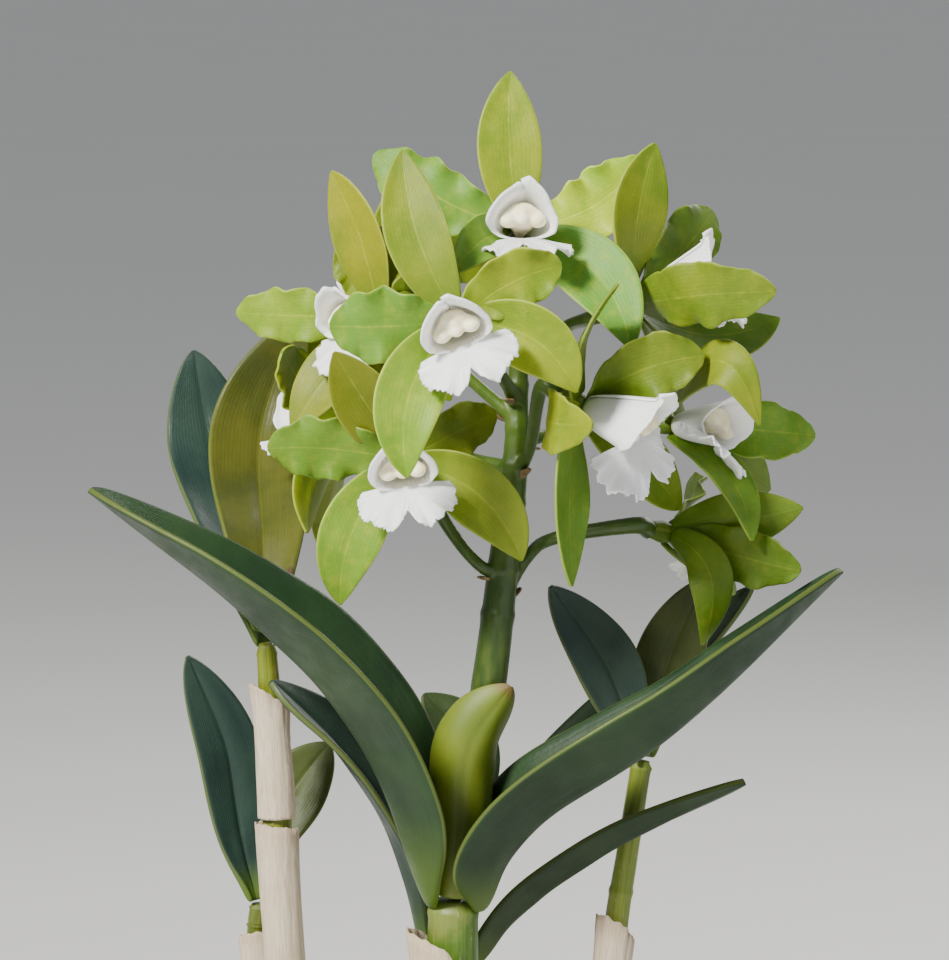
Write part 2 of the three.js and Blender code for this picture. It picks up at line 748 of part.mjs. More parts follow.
function fanPoint(q, v, droop) {
  const side = Math.abs(v);
  const notch = 1 - 0.42 * Math.exp(-(((FAN_SPREAD * v) / 11) ** 2));
  const reach = FAN_REACH * notch * (1 - 0.22 * side ** 5) * (1 + 0.1 * side ** 1.5) * q;
  const across = reach * Math.sin(rad(FAN_SPREAD * v));
  const ahead = reach * Math.cos(rad(FAN_SPREAD * v));
  const lobes = 1.4 * (reach / FAN_REACH) * Math.sin(Math.PI * Math.min(1, side * 1.25));
  const ruffle = 0.9 * q ** 3 * Math.sin(5 * Math.PI * side + 0.6);
  return hung(across, ahead, lobes - 0.012 * reach ** 2 - 0.005 * across ** 2 + ruffle, droop);
}

function lipSurface(droop, hoodRows, hoodSide, fanRows, fanColumns) {
  const half = steps(hoodSide, NECK_SHARE, 1);
  const columns = [...half.toReversed().map((v) => -v), 0, ...half];
  const rows = steps(hoodRows);
  const points = rows.flatMap((s) => columns.map((v) => hoodPoint(s, v)));
  const triangles = gridTriangles(rows.length, columns.length);
  const mouth = hoodRows * columns.length + hoodSide;
  const neck = points.length;
  points.push(...[-1, 0, 1].map((u) => hung(NECK_HALF * u, NECK_REACH, 0.3 * u * u, droop)));
  for (const j of [0, 1]) {
    triangles.push([mouth + j, mouth + j + 1, neck + j + 1], [mouth + j, neck + j + 1, neck + j]);
  }
  const fan = points.length;
  const spread = steps(fanColumns, -1, 1);
  const reach = steps(fanRows, FAN_START, 1);
  points.push(...reach.flatMap((q) => spread.map((v) => fanPoint(q, v, droop))));
  triangles.push(...gridTriangles(reach.length, spread.length).map((face) => face.map((i) => fan + i)));
  const third = Math.round(fanColumns / 3);
  const corners = [0, third, fanColumns - third, fanColumns];
  for (const k of [0, 1, 2]) {
    for (let j = corners[k]; j < corners[k + 1]; j++) triangles.push([neck + k, fan + j + 1, fan + j]);
  }
  triangles.push([neck, neck + 1, fan + corners[1]], [neck + 1, neck + 2, fan + corners[2]]);
  return { points, triangles };
}

function columnRing(s, sides) {
  const wide = 2.3 + 4.2 * s ** 1.4;
  const high = 2.3 + 1.7 * s;
  return range(sides).map((j) => {
    const turn = (2 * Math.PI * j) / sides;
    return [-wide * Math.sin(turn), high * Math.cos(turn) + 0.4 + 2.4 * s, LIP_BASE + COLUMN_LENGTH * s];
  });
}

// A bloom's five tepals with its hub, and its lip, which stands clear of them.
function bloomSolids(bloom) {
  const { size = 1, droop = FAN_DROOP, coarse } = bloom;
  const less = coarse ? 1 : 0;
  const hub = vec(bloom.hub);
  const { r, u, n } = bloomAxes(bloom);
  const axes = new THREE.Matrix4().makeBasis(r, u, n);
  const place = (point) => vec(point).multiplyScalar(size).applyMatrix4(axes).add(hub);
  const blades = TEPALS.map((name) => tepalBlade(bloom[name], hub, n));
  const hubDisc = (grow) =>
    loft(
      [-HUB_BACK, HUB_FRONT + grow].map((depth) =>
        range(8).map((j) => {
          const out = r.clone().applyAxisAngle(n, (Math.PI * j) / 4);
          return hub.clone().addScaledVector(out, HUB_RADIUS + grow).addScaledVector(n, depth);
        }),
      ),
    );
  const green = (grow) =>
    joined([
      hubDisc(grow),
      ...blades.map((blade) => {
        const rows = (blade.outline === PETAL ? 6 : 4) - less;
        return bladeSolid(blade, rows, 4 - 2 * less, TEPAL_THICK, grow);
      }),
    ]);
  const tepals = green(0);
  const { points, triangles } = lipSurface(droop, 3 - less, 3, 2 - less, 12 - 2 * less);
  const lip = joined([
    thickened(points.map(place), triangles, LIP_THICK),
    loft(steps(2).map((s) => columnRing(s, 6).map(place))),
  ]);
  return { tepals, lip: largest(lip.subtract(green(LIP_CLEAR))) };
}

// The pot stands on the flat of its foot, round four drain holes.
function innerRadius(height) {
  const foot = POT_FOOT_RADIUS - POT_WALL;
  const top = POT_RIM_RADIUS - POT_WALL;
  return lerp(foot, top, (height - POT_FLOOR) / (POT_HEIGHT - POT_FLOOR));
}

function lathed(profile) {
  const outline = profile.map(([x, y]) => new THREE.Vector2(x, y));
  return solidOf(new THREE.LatheGeometry(outline, POT_SIDES).rotateX(Math.PI / 2));
}

function potSolid() {
  const rimFoot = POT_HEIGHT - POT_RIM_HEIGHT;
  const wall = lathed([
    [0, 0],
    [POT_FOOT_RADIUS, 0],
    [POT_RIM_RADIUS - 2 * POT_RIM_STEP, rimFoot - 2],
    [POT_RIM_RADIUS - POT_RIM_STEP / 2, rimFoot],
    [POT_RIM_RADIUS, POT_HEIGHT - 2],
    [POT_RIM_RADIUS - 2, POT_HEIGHT],
    [innerRadius(POT_HEIGHT), POT_HEIGHT],
    [innerRadius(POT_FLOOR), POT_FLOOR],
    [0, POT_FLOOR],
  ]);
  const holes = range(DRAIN_HOLES).map((i) => {
    const turn = (2 * Math.PI * (i + 0.5)) / DRAIN_HOLES;
    const hole = new THREE.CylinderGeometry(DRAIN_HOLE_RADIUS, DRAIN_HOLE_RADIUS, 3 * POT_FLOOR, 12);
    hole.rotateX(Math.PI / 2);
    hole.translate(DRAIN_HOLE_CIRCLE * Math.cos(turn), DRAIN_HOLE_CIRCLE * Math.sin(turn), POT_FLOOR / 2);
    return solidOf(hole);
  });
  return holes.reduce((pot, hole) => pot.subtract(hole), wall);
}

// Seeded random numbers, so that every build is the same.
function seeded(seed) {
  let state = seed;
  return () => {
    state = (state * 1664525 + 1013904223) % 4294967296;
    return state / 4294967296;
  };
}

// Fir bark fills the pot, with angular chips in its top.
function barkSolid() {
  const random = seeded(BARK_SEED);
  const bed = lathed([
    [0, POT_FLOOR + GAP],
    [innerRadius(POT_FLOOR) - GAP, POT_FLOOR + GAP],
    [innerRadius(BARK_LEVEL) - GAP, BARK_LEVEL],
    [0, BARK_LEVEL],
  ]);
  const chips = range(BARK_CHIPS).map((i) => {
    const out = Math.sqrt((i + 0.5) / BARK_CHIPS) * (innerRadius(BARK_LEVEL) - 11);
    const turn = i * 2.39996 + random();
    const chip = new THREE.BoxGeometry(13 + 9 * random(), 9 + 6 * random(), 5 + 3 * random());
    const corners = chip.getAttribute("position");
    const skew = range(8).map(() => 0.72 + 0.28 * random());
    for (const i of range(corners.count)) {
      const [x, y, z] = [corners.getX(i), corners.getY(i), corners.getZ(i)];
      const corner = (x > 0 ? 1 : 0) + (y > 0 ? 2 : 0) + (z > 0 ? 4 : 0);
      corners.setXYZ(i, x * skew[corner], y * skew[7 - corner], z * skew[corner]);
    }
    chip.rotateX(0.5 * (random() - 0.5)).rotateY(0.5 * (random() - 0.5)).rotateZ(2 * Math.PI * random());
    chip.translate(out * Math.cos(turn), out * Math.sin(turn), BARK_LEVEL + 0.5 + 1.6 * random());
    return solidOf(chip);
  });
  return joined([bed, ...chips]);
}

// The rhizome and its roots, made wider by grow for the trough they lie in.
function rhizomeSolid(grow) {
  const runs = RHIZOME.map((run) => {
    const points = run.map(([x, y]) => vec([x, y, RHIZOME_LEVEL]));
    return stalk({ points, radii: RHIZOME_RADII, rings: run.length + 2, sides: 7 }, grow);
  });
  const roots = ROOTS.map((run) => {
    const points = run.map(([x, y], i) => vec([x, y, ROOT_LEVELS[i]]));
    return stalk({ points, radii: ROOT_RADII, rings: 3, sides: 5 }, grow);
  });
  return joined([...runs, ...roots]);
}

const caneSolid = (cane, grow) => stalk({ ...cane, points: cane.points.map(vec) }, grow);

// A papery sheath round a cane, with its seam at the back of its turn.
function sheathSolid({ cane, from, to, climb, turn, peel, rows }) {
  const { points, radii } = CANES[cane];
  const curve = smooth(points.map(vec));
  const surface = (t, u) => {
    const angle = u * rad(SHEATH_WRAP);
    const lean = (1 + Math.cos(angle)) / 2;
    const at = lerp(from, to + climb * lean, t);
    const ahead = heading(curve, at);
    const front = square(new THREE.Vector3(0, -1, 0), ahead);
    const out = front.applyAxisAngle(ahead, rad(turn) - angle);
    const flat = 1 / Math.cos(rad(SHEATH_WRAP) / SHEATH_COLUMNS);
    const radius = (along(radii, at) + GAP) * flat + SHEATH_THICK / 2 + peel * lean * t ** 5;
    return curve.getPoint(at).addScaledVector(out, radius);
  };
  return sheet(surface, steps(rows), steps(SHEATH_COLUMNS, -1, 1), SHEATH_THICK);
}

// The flower stalk and the stem of each bloom, to the back of its hub.
function spraySolid() {
  const stems = Object.entries(PEDICELS).map(([name, points]) => {
    const hub = vec(BLOOMS[name].hub);
    const { n } = bloomAxes(BLOOMS[name]);
    const back = [14, HUB_BACK + GAP].map((depth) => hub.clone().addScaledVector(n, -depth));
    return stalk({ points: [...points.map(vec), ...back], radii: PEDICEL_RADII, rings: 5, sides: 5 });
  });
  return joined([caneSolid(RACHIS), ...stems]);
}

function leafBlade(leaf) {
  return { ...leaf, rib: leaf.rib.map(vec), face: leaf.face.map((f) => vec(f).normalize()), tipHalf: 0.7 };
}

const plant = new THREE.Group();

function addPiece(name, solid, colour, roughness) {
  const material = new THREE.MeshStandardMaterial({ color: COLOURS[colour], roughness, metalness: 0 });
  const mesh = new THREE.Mesh(geometryOf(solid), material);
  mesh.name = name;
  plant.add(mesh);
}

addPiece("pot", potSolid(), "pot", 0.85);
addPiece("bark_medium", barkSolid().subtract(rhizomeSolid(GAP)), "bark", 0.9);
addPiece("rhizome", rhizomeSolid(0), "rhizome", 0.7);

for (const [name, cane] of Object.entries(CANES)) addPiece(name, caneSolid(cane), "cane", 0.5);

for (const [name, sheath] of Object.entries(SHEATHS)) addPiece(name, sheathSolid(sheath), "sheath", 0.8);

const spathe = (grow) => {
  const { rib, face } = SPATHE_BLADE;
  const blade = { ...SPATHE_BLADE, rib: rib.map(vec), face: face.map((f) => vec(f).normalize()) };
  return bladeSolid(blade, 8, 8, SPATHE_THICK, grow);
};
addPiece("spathe", spathe(0), "spathe", 0.5);
addPiece("flower_spray", spraySolid(), "spray", 0.5);

// A pair of leaves meets on the tip of its cane, and its second leaf stands
// clear of the first.
const PAIRS = {
  cane_main: ["main_left", "main_right"],
  cane_second: ["second_left", "second_right"],
  cane_left_tall: ["left_tall_a", "left_tall_b"],
  cane_left_low: ["left_low_a", "left_low_b"],
  cane_right_tall: ["right_tall_a", "right_tall_b"],
  cane_back: ["back_left", "back_right"],
};
for (const [cane, leaves] of Object.entries(PAIRS)) {
  let taken = caneSolid(CANES[cane], GAP).add(spathe(GAP));
  for (const name of leaves) {
    const blade = leafBlade(LEAVES[name]);
    const rows = blade.outline === STRAP ? 10 : 7;
    const leaf = largest(bladeSolid(blade, rows, 4, LEAF_THICK).subtract(taken));
    addPiece(`leaf_${name}`, leaf, "leaf", 0.45);
    taken = taken.add(bladeSolid(blade, rows, 4, LEAF_THICK, GAP));
  }
}

for (const [name, bloom] of Object.entries(BLOOMS)) {
  const { tepals, lip } = bloomSolids(bloom);
  addPiece(`bloom_${name}_tepals`, tepals, "tepals", 0.5);
  addPiece(`bloom_${name}_lip`, lip, "lip", 0.55);
}

export default plant;
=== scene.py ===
import math
import random

import bpy
from mathutils import Matrix, Quaternion, Vector, noise


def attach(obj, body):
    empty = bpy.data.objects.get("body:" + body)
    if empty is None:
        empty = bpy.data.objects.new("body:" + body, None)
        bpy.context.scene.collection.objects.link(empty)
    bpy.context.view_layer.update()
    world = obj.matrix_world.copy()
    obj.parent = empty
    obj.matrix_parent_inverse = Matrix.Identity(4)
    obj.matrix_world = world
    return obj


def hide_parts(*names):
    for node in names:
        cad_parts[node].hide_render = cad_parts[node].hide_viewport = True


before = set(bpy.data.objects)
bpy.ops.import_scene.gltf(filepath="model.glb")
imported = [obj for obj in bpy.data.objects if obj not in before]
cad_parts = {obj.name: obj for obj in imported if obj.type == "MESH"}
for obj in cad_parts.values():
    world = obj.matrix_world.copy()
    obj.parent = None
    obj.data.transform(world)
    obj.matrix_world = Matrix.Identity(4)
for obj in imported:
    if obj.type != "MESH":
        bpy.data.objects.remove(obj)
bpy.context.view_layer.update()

MM = 0.001

# The photograph's view, with its middle at the height of the blooms.
CAMERA_TARGET = Vector((5.5, 0, 387))
CAMERA_DISTANCE = 1350
CAMERA_ELEVATION = 7
CAMERA_LENS = 180.8
CAMERA_SENSOR = 36

# Pot and bark.
POT_HEIGHT = 118
POT_RIM_RADIUS = 75
POT_RIM_HEIGHT = 22
POT_RIM_STEP = 4
POT_FOOT_RADIUS = 50
POT_WALL = 6
POT_FLOOR = 8
POT_SIDES = 96
DRAIN_HOLE_RADIUS = 6
DRAIN_HOLE_CIRCLE = 30
DRAIN_HOLES = 4
BARK_LEVEL = 104
BARK_CHIPS = 330
BARK_FORMS = 7
BARK_SEED = 11

# Thickness of the plant's thin pieces.
TEPAL_THICK = 0.9
LIP_THICK = 0.55
LEAF_THICK = 1.9
SPATHE_THICK = 0.9
SHEATH_THICK = 0.5
SHEATH_GAP = 0.5
SHEATH_WRAP = 160

# Outlines of blades: share of the width kept at the root, where along the
# blade it is widest, and how blunt its end is.
SEPAL = (0.30, 1.00, 0.74)
PETAL = (0.20, 1.25, 0.56)
STRAP = (0.40, 0.95, 0.55)
LANCE = (0.30, 1.40, 0.66)
SPATHE = (0.66, 1.00, 0.62)

# The lip of a bloom, along its own axes: x to the right, y up, z forward.
LIP_BASE = 1.1
HOOD_TOP = 24.5
HOOD_BOTTOM = 15
HOOD_WIDE = 9.6
HOOD_HIGH = 7.8
HOOD_THROAT = 2.4
HOOD_TURN = 183
HOOD_FLAT = 0.38
HOOD_LAP = 0.4
FAN_ROOT_Y = -4.1
FAN_ROOT_Z = 14.5
FAN_DROOP = 42
FAN_REACH = 14.8
FAN_SPREAD = 98
FAN_START = 0.4
NECK_SHARE = 0.12
NECK_HALF = 3
NECK_REACH = 1.4
COLUMN_LENGTH = 18
TEPAL_ROOT = 2.6
SEPAL_BEHIND = 1.4
HUB_RADIUS = 3.2
HUB_BACK = 7.5
HUB_FRONT = 0.6

LIP_COLUMNS = 126

# Rows and columns of the grids that blades and sheaths are bent from.
PETAL_GRID = (29, 13)
SEPAL_GRID = (21, 10)
STRAP_ROWS = 46
LEAF_ROWS = 36
LEAF_COLUMNS = 14
SPATHE_GRID = (30, 20)
SHEATH_GRID = (36, 48)
TEPALS = ("dorsal", "left_petal", "right_petal", "left_sepal", "right_sepal")


def sepal(tip, width, **more):
    return dict(outline=SEPAL, tip=tip, width=width, arch=3, sway=0, cup=[10, 24, 14]) | more


def petal(tip, width, **more):
    shape = dict(outline=PETAL, tip=tip, width=width, arch=3, sway=0, cup=[10, 6, -8])
    return shape | dict(wave=1.6, waves=3, phase=0.3) | more


def strap(width, rib, face, **more):
    return dict(outline=STRAP, width=width, rib=rib, face=face, tip_half=0.7) | more


def lance(width, rib, face, **more):
    return dict(outline=LANCE, width=width, rib=rib, face=face, tip_half=0.7) | more


# Each bloom: where its hub is, how it is turned (yaw to the right, pitch up,
# roll about its own axis), and its five tepals by the place of their tips.
BLOOMS = {
    "a": dict(
        hub=[18, -4, 456.5], yaw=3, pitch=14, roll=0, size=0.94, droop=22,
        dorsal=sepal([15.5, 4, 501], 18.4, arch=1.5, sway=-1.6, cup=[10, 16, 10]),
        left_petal=petal(
            [-22, 2, 478.5], 18.5, arch=2.5, sway=-3, cup=[10, 6, -6], wave=2.2, waves=3.6, phase=0.1,
        ),
        right_petal=petal(
            [52.5, 6, 477], 19, arch=1, sway=4.5, cup=[10, 8, 0], wave=2.2, waves=3.4, phase=0.5,
        ),
        left_sepal=sepal([-1, -34, 447], 14, arch=5, sway=3, cup=[10, 30, 40]),
        right_sepal=sepal([48.5, -24, 426], 20, sway=-7, cup=[10, 18, 14]),
    ),
    "b": dict(
        hub=[0.5, -44, 435.5], yaw=2, pitch=-6, roll=-22, size=0.96,
        dorsal=sepal([-14, -32, 481], 18, arch=2, sway=-3),
        left_petal=petal([-33.5, -46, 434.5], 21, wave=1.8, phase=0.2),
        right_petal=petal([29, -44, 450.5], 17.5, sway=-3, cup=[10, 24, 30], phase=0.6),
        left_sepal=sepal([-12.5, -57, 394.5], 19.5, arch=4, sway=6.5, cup=[10, 22, 18]),
        right_sepal=sepal([33, -47, 416.5], 19, sway=-7, cup=[10, 24, 20]),
    ),
    "e": dict(
        hub=[-14, -20, 395], yaw=0, pitch=-8, roll=-8, size=0.94, droop=38,
        dorsal=sepal([-33, -26, 425.5], 18, arch=2),
        left_petal=petal([-51.5, -22, 398.5], 18, arch=2, sway=2, wave=2, waves=3.4),
        right_petal=petal([11.5, -12, 407], 14.5, arch=2, sway=-1, cup=[10, 10, 0], wave=1.4, phase=0.6),
        left_sepal=sepal([-31.5, -22, 355], 18.5, arch=4, sway=5.5, cup=[10, 18, 14]),
        right_sepal=sepal([18.5, -24, 367.5], 19, arch=4, sway=-7, cup=[10, 24, 20]),
    ),
    "d": dict(
        hub=[-21.5, 2, 432.5], yaw=-34, pitch=-2, roll=-8, size=0.9,
        dorsal=sepal([-34.5, 8, 473], 17.5, arch=1, sway=3),
        left_petal=petal([-62, 24, 432], 15.5, arch=2, wave=2, waves=3.4),
        right_petal=petal([-13, 16, 460.5], 17, cup=[10, 10, 0], wave=1.4, phase=0.6),
        left_sepal=sepal([-45.5, -4, 401.5], 17, cup=[10, 18, 14]),
        right_sepal=sepal([-28.5, -4, 401.5], 17, cup=[10, 24, 20]),
    ),
    "f": dict(
        hub=[-31.5, 26, 399.5], yaw=-125, pitch=0, roll=0, size=0.9, droop=10,
        dorsal=sepal([-36, 34, 434.5], 18),
        left_petal=petal([-45, 50, 404], 17, wave=2),
        right_petal=petal([-48.5, 6, 422.5], 17, cup=[10, 10, 0], phase=0.6),
        left_sepal=sepal([-36.5, 46, 358], 17, cup=[10, 18, 14]),
        right_sepal=sepal([-42, 12, 370.5], 16, arch=4, cup=[10, 24, 20]),
    ),
    "k": dict(
        hub=[-16, 44, 434], yaw=-150, pitch=14, roll=0,
        dorsal=sepal([-12.5, 40, 471.5], 18),
        left_petal=petal([13, 58, 450], 18, wave=2),
        right_petal=petal([-34, 50, 449], 17, cup=[10, 10, 0], phase=0.6),
        left_sepal=sepal([-1.5, 60, 403], 17, cup=[10, 18, 14]),
        right_sepal=sepal([-25, 62, 403], 17, cup=[10, 24, 20]),
    ),
    "c": dict(
        hub=[51.5, -2, 437], yaw=86, pitch=18, roll=0, size=1.06, droop=34,
        dorsal=sepal([55.5, -4, 481.5], 20, arch=1, sway=-3, face=[0.45, -1, 0.1], cup=[10, 14, 8]),
        left_petal=petal([87.5, -34, 443], 19, arch=-8, sway=4, face=[0.2, 1, 0.25], waves=3.4),
        right_petal=petal([73, 26, 460.5], 19, face=[0.45, -1, 0.2], cup=[10, 10, 0], phase=0.6),
        left_sepal=sepal([67.5, 6, 413.5], 16, arch=-3, cup=[10, 18, 14]),
        right_sepal=sepal([92, 22, 430.5], 20, arch=-4, sway=5, face=[0.2, -0.8, 0.6], cup=[10, 24, 20]),
    ),
    "g": dict(
        hub=[35.5, -24, 410.5], yaw=60, pitch=-18, roll=-17, size=1.1,
        dorsal=sepal(
            [44.5, -35, 445], 17.5, over=[29, -34, 426.5], face=[0.88, -0.12, 0.4], cup=[14, 10, 6],
        ),
        left_petal=petal([37, -64, 409.5], 17.5, over=[15.5, -40, 407], face=[0.93, 0.37, 0], wave=1.2),
        right_petal=petal(
            [68.5, -23, 424], 18, arch=4, sway=-2, face=[0.2, -1, 0.3], cup=[10, 14, 8], wave=1.4,
            phase=0.6,
        ),
        left_sepal=sepal([32, -36, 362], 18, over=[30, -40, 392], face=[0.8, -0.6, 0.1], cup=[10, 18, 14]),
        right_sepal=sepal([63.5, 6, 378], 17, cup=[10, 24, 20]),
    ),
    "h": dict(
        hub=[61.5, 10, 401.5], yaw=54, pitch=0, roll=34, size=0.92, droop=24,
        dorsal=sepal([60.5, 48, 409.5], 17),
        left_petal=sepal(
            [83.5, -28, 405.5], 14, over=[73, -38, 441], face=[-0.1, 1, -0.3], cup=[10, 10, 8],
        ),
        right_petal=petal(
            [102.5, 26, 396.5], 16.5, face=[0.3, -1, 0.2], cup=[10, 10, 0], wave=1.8, waves=3.4,
            phase=0.6,
        ),
        left_sepal=sepal([83, -6, 370.5], 14, arch=4, sway=-4, face=[0.5, -0.8, 0.4], cup=[10, 18, 14]),
        right_sepal=sepal([91, 46, 378.5], 17, cup=[10, 24, 20]),
    ),
    "j": dict(
        hub=[60.5, 14, 370], yaw=128, pitch=-14, roll=14, size=0.92, droop=16,
        dorsal=sepal([98, 6, 378.5], 17, arch=-2, face=[0.3, 1, 0.2]),
        left_petal=petal([97, -2, 361.5], 16.5, arch=-2, face=[0.2, 1, 0.1]),
        right_petal=petal([68.5, 60, 379.5], 17, cup=[10, 10, 0], phase=0.6),
        left_sepal=sepal([69.5, 2, 340], 13, over=[78, -8, 365.5], face=[-0.3, 1, 0.2], cup=[10, 18, 14]),
        right_sepal=sepal([82, 60, 347], 17, cup=[10, 24, 20]),
    ),
}

# Each leaf: its widest, the points of its rib, and the way its upper face looks
# at its root and at its tip.
LEAVES = {
    "main_left": strap(
        46,
        [[-7.5, 0, 266], [-25.5, -13, 313.5], [-55.5, -20, 350], [-101.5, -10, 385.5]],
        [[0.9, -0.1, 0.25], [0.45, -0.1, 1]],
        cup=[62, 42, 20, 14, 10, 6], fold=[0, 24, 34, 34, 28, 16]),
    "main_right": strap(
        38,
        [[8, -1, 265], [21.5, -10, 289.5], [62.5, -17, 319.5], [108.5, 0, 361.5]],
        [[-0.9, 0.05, 0.3], [-0.5, 0.05, 1]],
        cup=[62, 36, 14, 10, 8, 6], fold=[0, 28, 44, 46, 38, 18]),
    "second_left": lance(
        24,
        [[-8.5, 18, 244], [-16, 14, 278], [-31.5, 8, 307], [-52, 2, 329.5]],
        [[0.9, -0.1, 0.25], [0.45, -0.5, 1]],
        cup=[80, 40, 14, 8, 6, 4], fold=[0, 20, 24, 24, 20, 10]),
    "second_right": strap(
        17,
        [[5, 16, 244], [19.5, 13, 262], [46.5, 8, 282], [82, 4, 300.5]],
        [[-0.9, 0.2, 0.25], [-0.3, 0.7, 1]],
        cup=[80, 30, 10, 6, 4, 4], fold=[0, 20, 28, 28, 20, 10]),
    "left_tall_a": lance(
        27,
        [[-54, 13, 337], [-62, 36, 359.5], [-72, 72, 387], [-77.5, 78, 416]],
        [[0.5, -1, 0.1], [0.1, -1, 0.1]],
        cup=[70, 20, 8, 6, 4, 2], fold=[0, 8, 10, 8, 6, 4]),
    "left_tall_b": lance(
        31,
        [[-53.5, 7, 342.5], [-55, 26, 366.5], [-57, 64, 394], [-46, 68, 426.5]],
        [[0.1, -1, 0], [0.1, -1, 0.1]],
        cup=[70, 24, 10, 8, 6, 4], fold=[0, 8, 12, 10, 6, 4]),
    "left_low_a": lance(
        19,
        [[-57.5, 24, 262], [-62, 26, 280.5], [-66, 26, 307.5], [-76.5, 22, 333.5]],
        [[0.5, -1, 0.1], [0.2, -1, 0.1]],
        cup=[70, 20, 8, 6, 4, 2], fold=[0, 8, 10, 8, 6, 4]),
    "left_low_b": lance(
        20,
        [[-56, 26, 262.5], [-53.5, 30, 278.5], [-46, 34, 293], [-36.5, 36, 306]],
        [[-0.3, -1, 0.1], [-0.2, -1, 0.1]],
        cup=[70, 20, 8, 6, 4, 2], fold=[0, 8, 10, 8, 6, 4]),
    "right_tall_a": lance(
        19.5,
        [[53, 18, 304.5], [48, 16, 319], [41.5, 14, 335], [27, 10, 355.5]],
        [[0.4, -1, 0.1], [0.3, -1, 0.1]],
        cup=[70, 20, 8, 6, 4, 2], fold=[0, 8, 10, 8, 6, 4]),
    "right_tall_b": lance(
        20,
        [[54.5, 24, 304], [57.5, 27, 318.5], [62.5, 27, 335], [71, 24, 355.5]],
        [[-0.3, -1, 0.1], [-0.2, -1, 0.1]],
        cup=[70, 20, 8, 6, 4, 2], fold=[0, 8, 10, 8, 6, 4]),
    "back_left": lance(
        18,
        [[-1.5, 40, 261.5], [3, 46, 285.5], [3, 50, 304.5], [-9.5, 52, 317.5]],
        [[0.3, -1, 0.1], [0.3, -1, 0.3]],
        cup=[70, 20, 8, 6, 4, 2], fold=[0, 8, 10, 8, 6, 4]),
    "back_right": lance(
        24,
        [[2.5, 40, 261.5], [21.5, 48, 285], [54, 58, 315], [87, 62, 347.5]],
        [[-0.8, -0.6, 0.3], [-0.5, -0.6, 0.9]],
        cup=[70, 20, 8, 6, 4, 2], fold=[0, 14, 16, 14, 8, 4]),
}

# The canes, from the rhizome to the joint under the leaves, and their radii.
CANES = {
    "cane_main": ([[4, -8, 114.5], [2, -4, 165], [-1, -1, 220], [-0.5, 0, 267.5]],
        [4.6, 6.6, 8.2, 7]),
    "cane_second": ([[-4, 17, 114.5], [-5, 17, 160], [-3, 18, 210], [-2, 17, 247]],
        [4.2, 6, 6.6, 5.8]),
    "cane_left_tall": ([[-34, 16, 114.5], [-44, 12, 190], [-49.5, 8, 264], [-51, 8, 300], [-53.5, 9, 339.5]],
        [3.6, 4.6, 4.3, 4, 2.8]),
    "cane_left_low": ([[-50, 10, 114.5], [-54, 18, 180], [-57, 25, 244.5], [-56.5, 25, 261]],
        [3.4, 4.2, 3.2, 2.8]),
    "cane_right_tall": ([
        [34, 14, 114], [41, 18, 190], [45.5, 20, 248.5], [49.5, 20, 277.5], [53.5, 21, 303.5]],
        [3.4, 4.4, 3.6, 3.2, 3]),
    "cane_back": ([[10, 42, 114.5], [6, 44, 170], [0, 43, 230], [0, 42, 260.5]],
        [3.6, 5.4, 5, 4.2]),
}

# The flower stalk, and where the stem of each bloom leaves it and passes.
RACHIS = ([[-0.5, 0, 268.5], [4, 0, 299], [9.5, 0, 329], [13.5, 2, 361.5], [17, 6, 392], [18, 9, 424]],
    [2.9, 3.6, 5, 4.4, 3.6, 2.4])
PEDICELS = {
    "a": [[18, 9, 422], [19, 10, 439.5]],
    "b": [[17.5, 8, 408.5], [11, -8, 420]],
    "c": [[18, 8, 416.5], [29.5, 10, 428]],
    "d": [[17.5, 7, 403], [1.5, 10, 417]],
    "e": [[13.5, 2, 360], [6.5, -2, 363.5], [-3, 0, 375.5]],
    "f": [[17, 6, 389], [-4.5, 22, 393]],
    "g": [[17, 5, 387], [21, -2, 396.5]],
    "h": [[17.5, 6, 397.5], [35.5, 18, 399]],
    "j": [[12.5, 1, 352], [20.5, 6, 364.5], [28.5, 12, 369]],
    "k": [[18, 9, 420], [4, 20, 430]],
}

# The spathe, rolled round the foot of the flower stalk.
SPATHE_BLADE = dict(
    outline=SPATHE, width=32, rib=[[0, -5.5, 268.5], [1.5, -6.5, 288.5], [4, -9, 312], [15.5, -8, 330]],
    face=[[0, 1, 0.1], [-0.1, 1, 0.3]], cup=[120, 112, 108, 90, 50])

# The rhizome's two runs over the bark, and the roots that leave them.
RHIZOME_LEVEL = 108.8
RHIZOME_RADII = [4.6, 5, 5.2, 4.8, 5, 5, 4.4]
RHIZOME = [
    [(-54, 8), (-44, 13), (-34, 16), (-18, 19), (-4, 17), (2, 4), (6, -14)],
    [(-4, 17), (0, 32), (10, 42), (24, 34), (36, 12)],
]
ROOT_RADII = [1.6, 1.5, 1.3]
ROOT_LEVELS = [108, 109, 103.5]
ROOTS = [
    [(-34, 16), (-38, 30), (-44, 44)],
    [(-18, 19), (-22, 2), (-30, -14)],
    [(2, 4), (20, -2), (34, -12)],
    [(6, -12), (-4, -26), (-8, -42)],
]

# Papery sheaths: the cane they wrap, from where to where along it, how far the
# top edge climbs to one side, the side where it does, and how far it peels off.
SHEATHS = {
    "sheath_main": ("cane_main", 0.03, 0.84, 0.1, -80, 4.2),
    "sheath_second": ("cane_second", 0.03, 0.62, 0.08, 60, 1),
    "sheath_left_tall": ("cane_left_tall", 0.02, 0.64, 0.02, -60, 0.4),
    "sheath_left_upper": ("cane_left_tall", 0.67, 0.88, 0.05, -70, 0.7),
    "sheath_left_low": ("cane_left_low", 0.03, 0.72, 0.06, 30, 0.8),
    "sheath_right_tall": ("cane_right_tall", 0.03, 0.5, 0.07, -40, 1),
    "sheath_back": ("cane_back", 0.03, 0.7, 0.06, 90, 0.8),
}


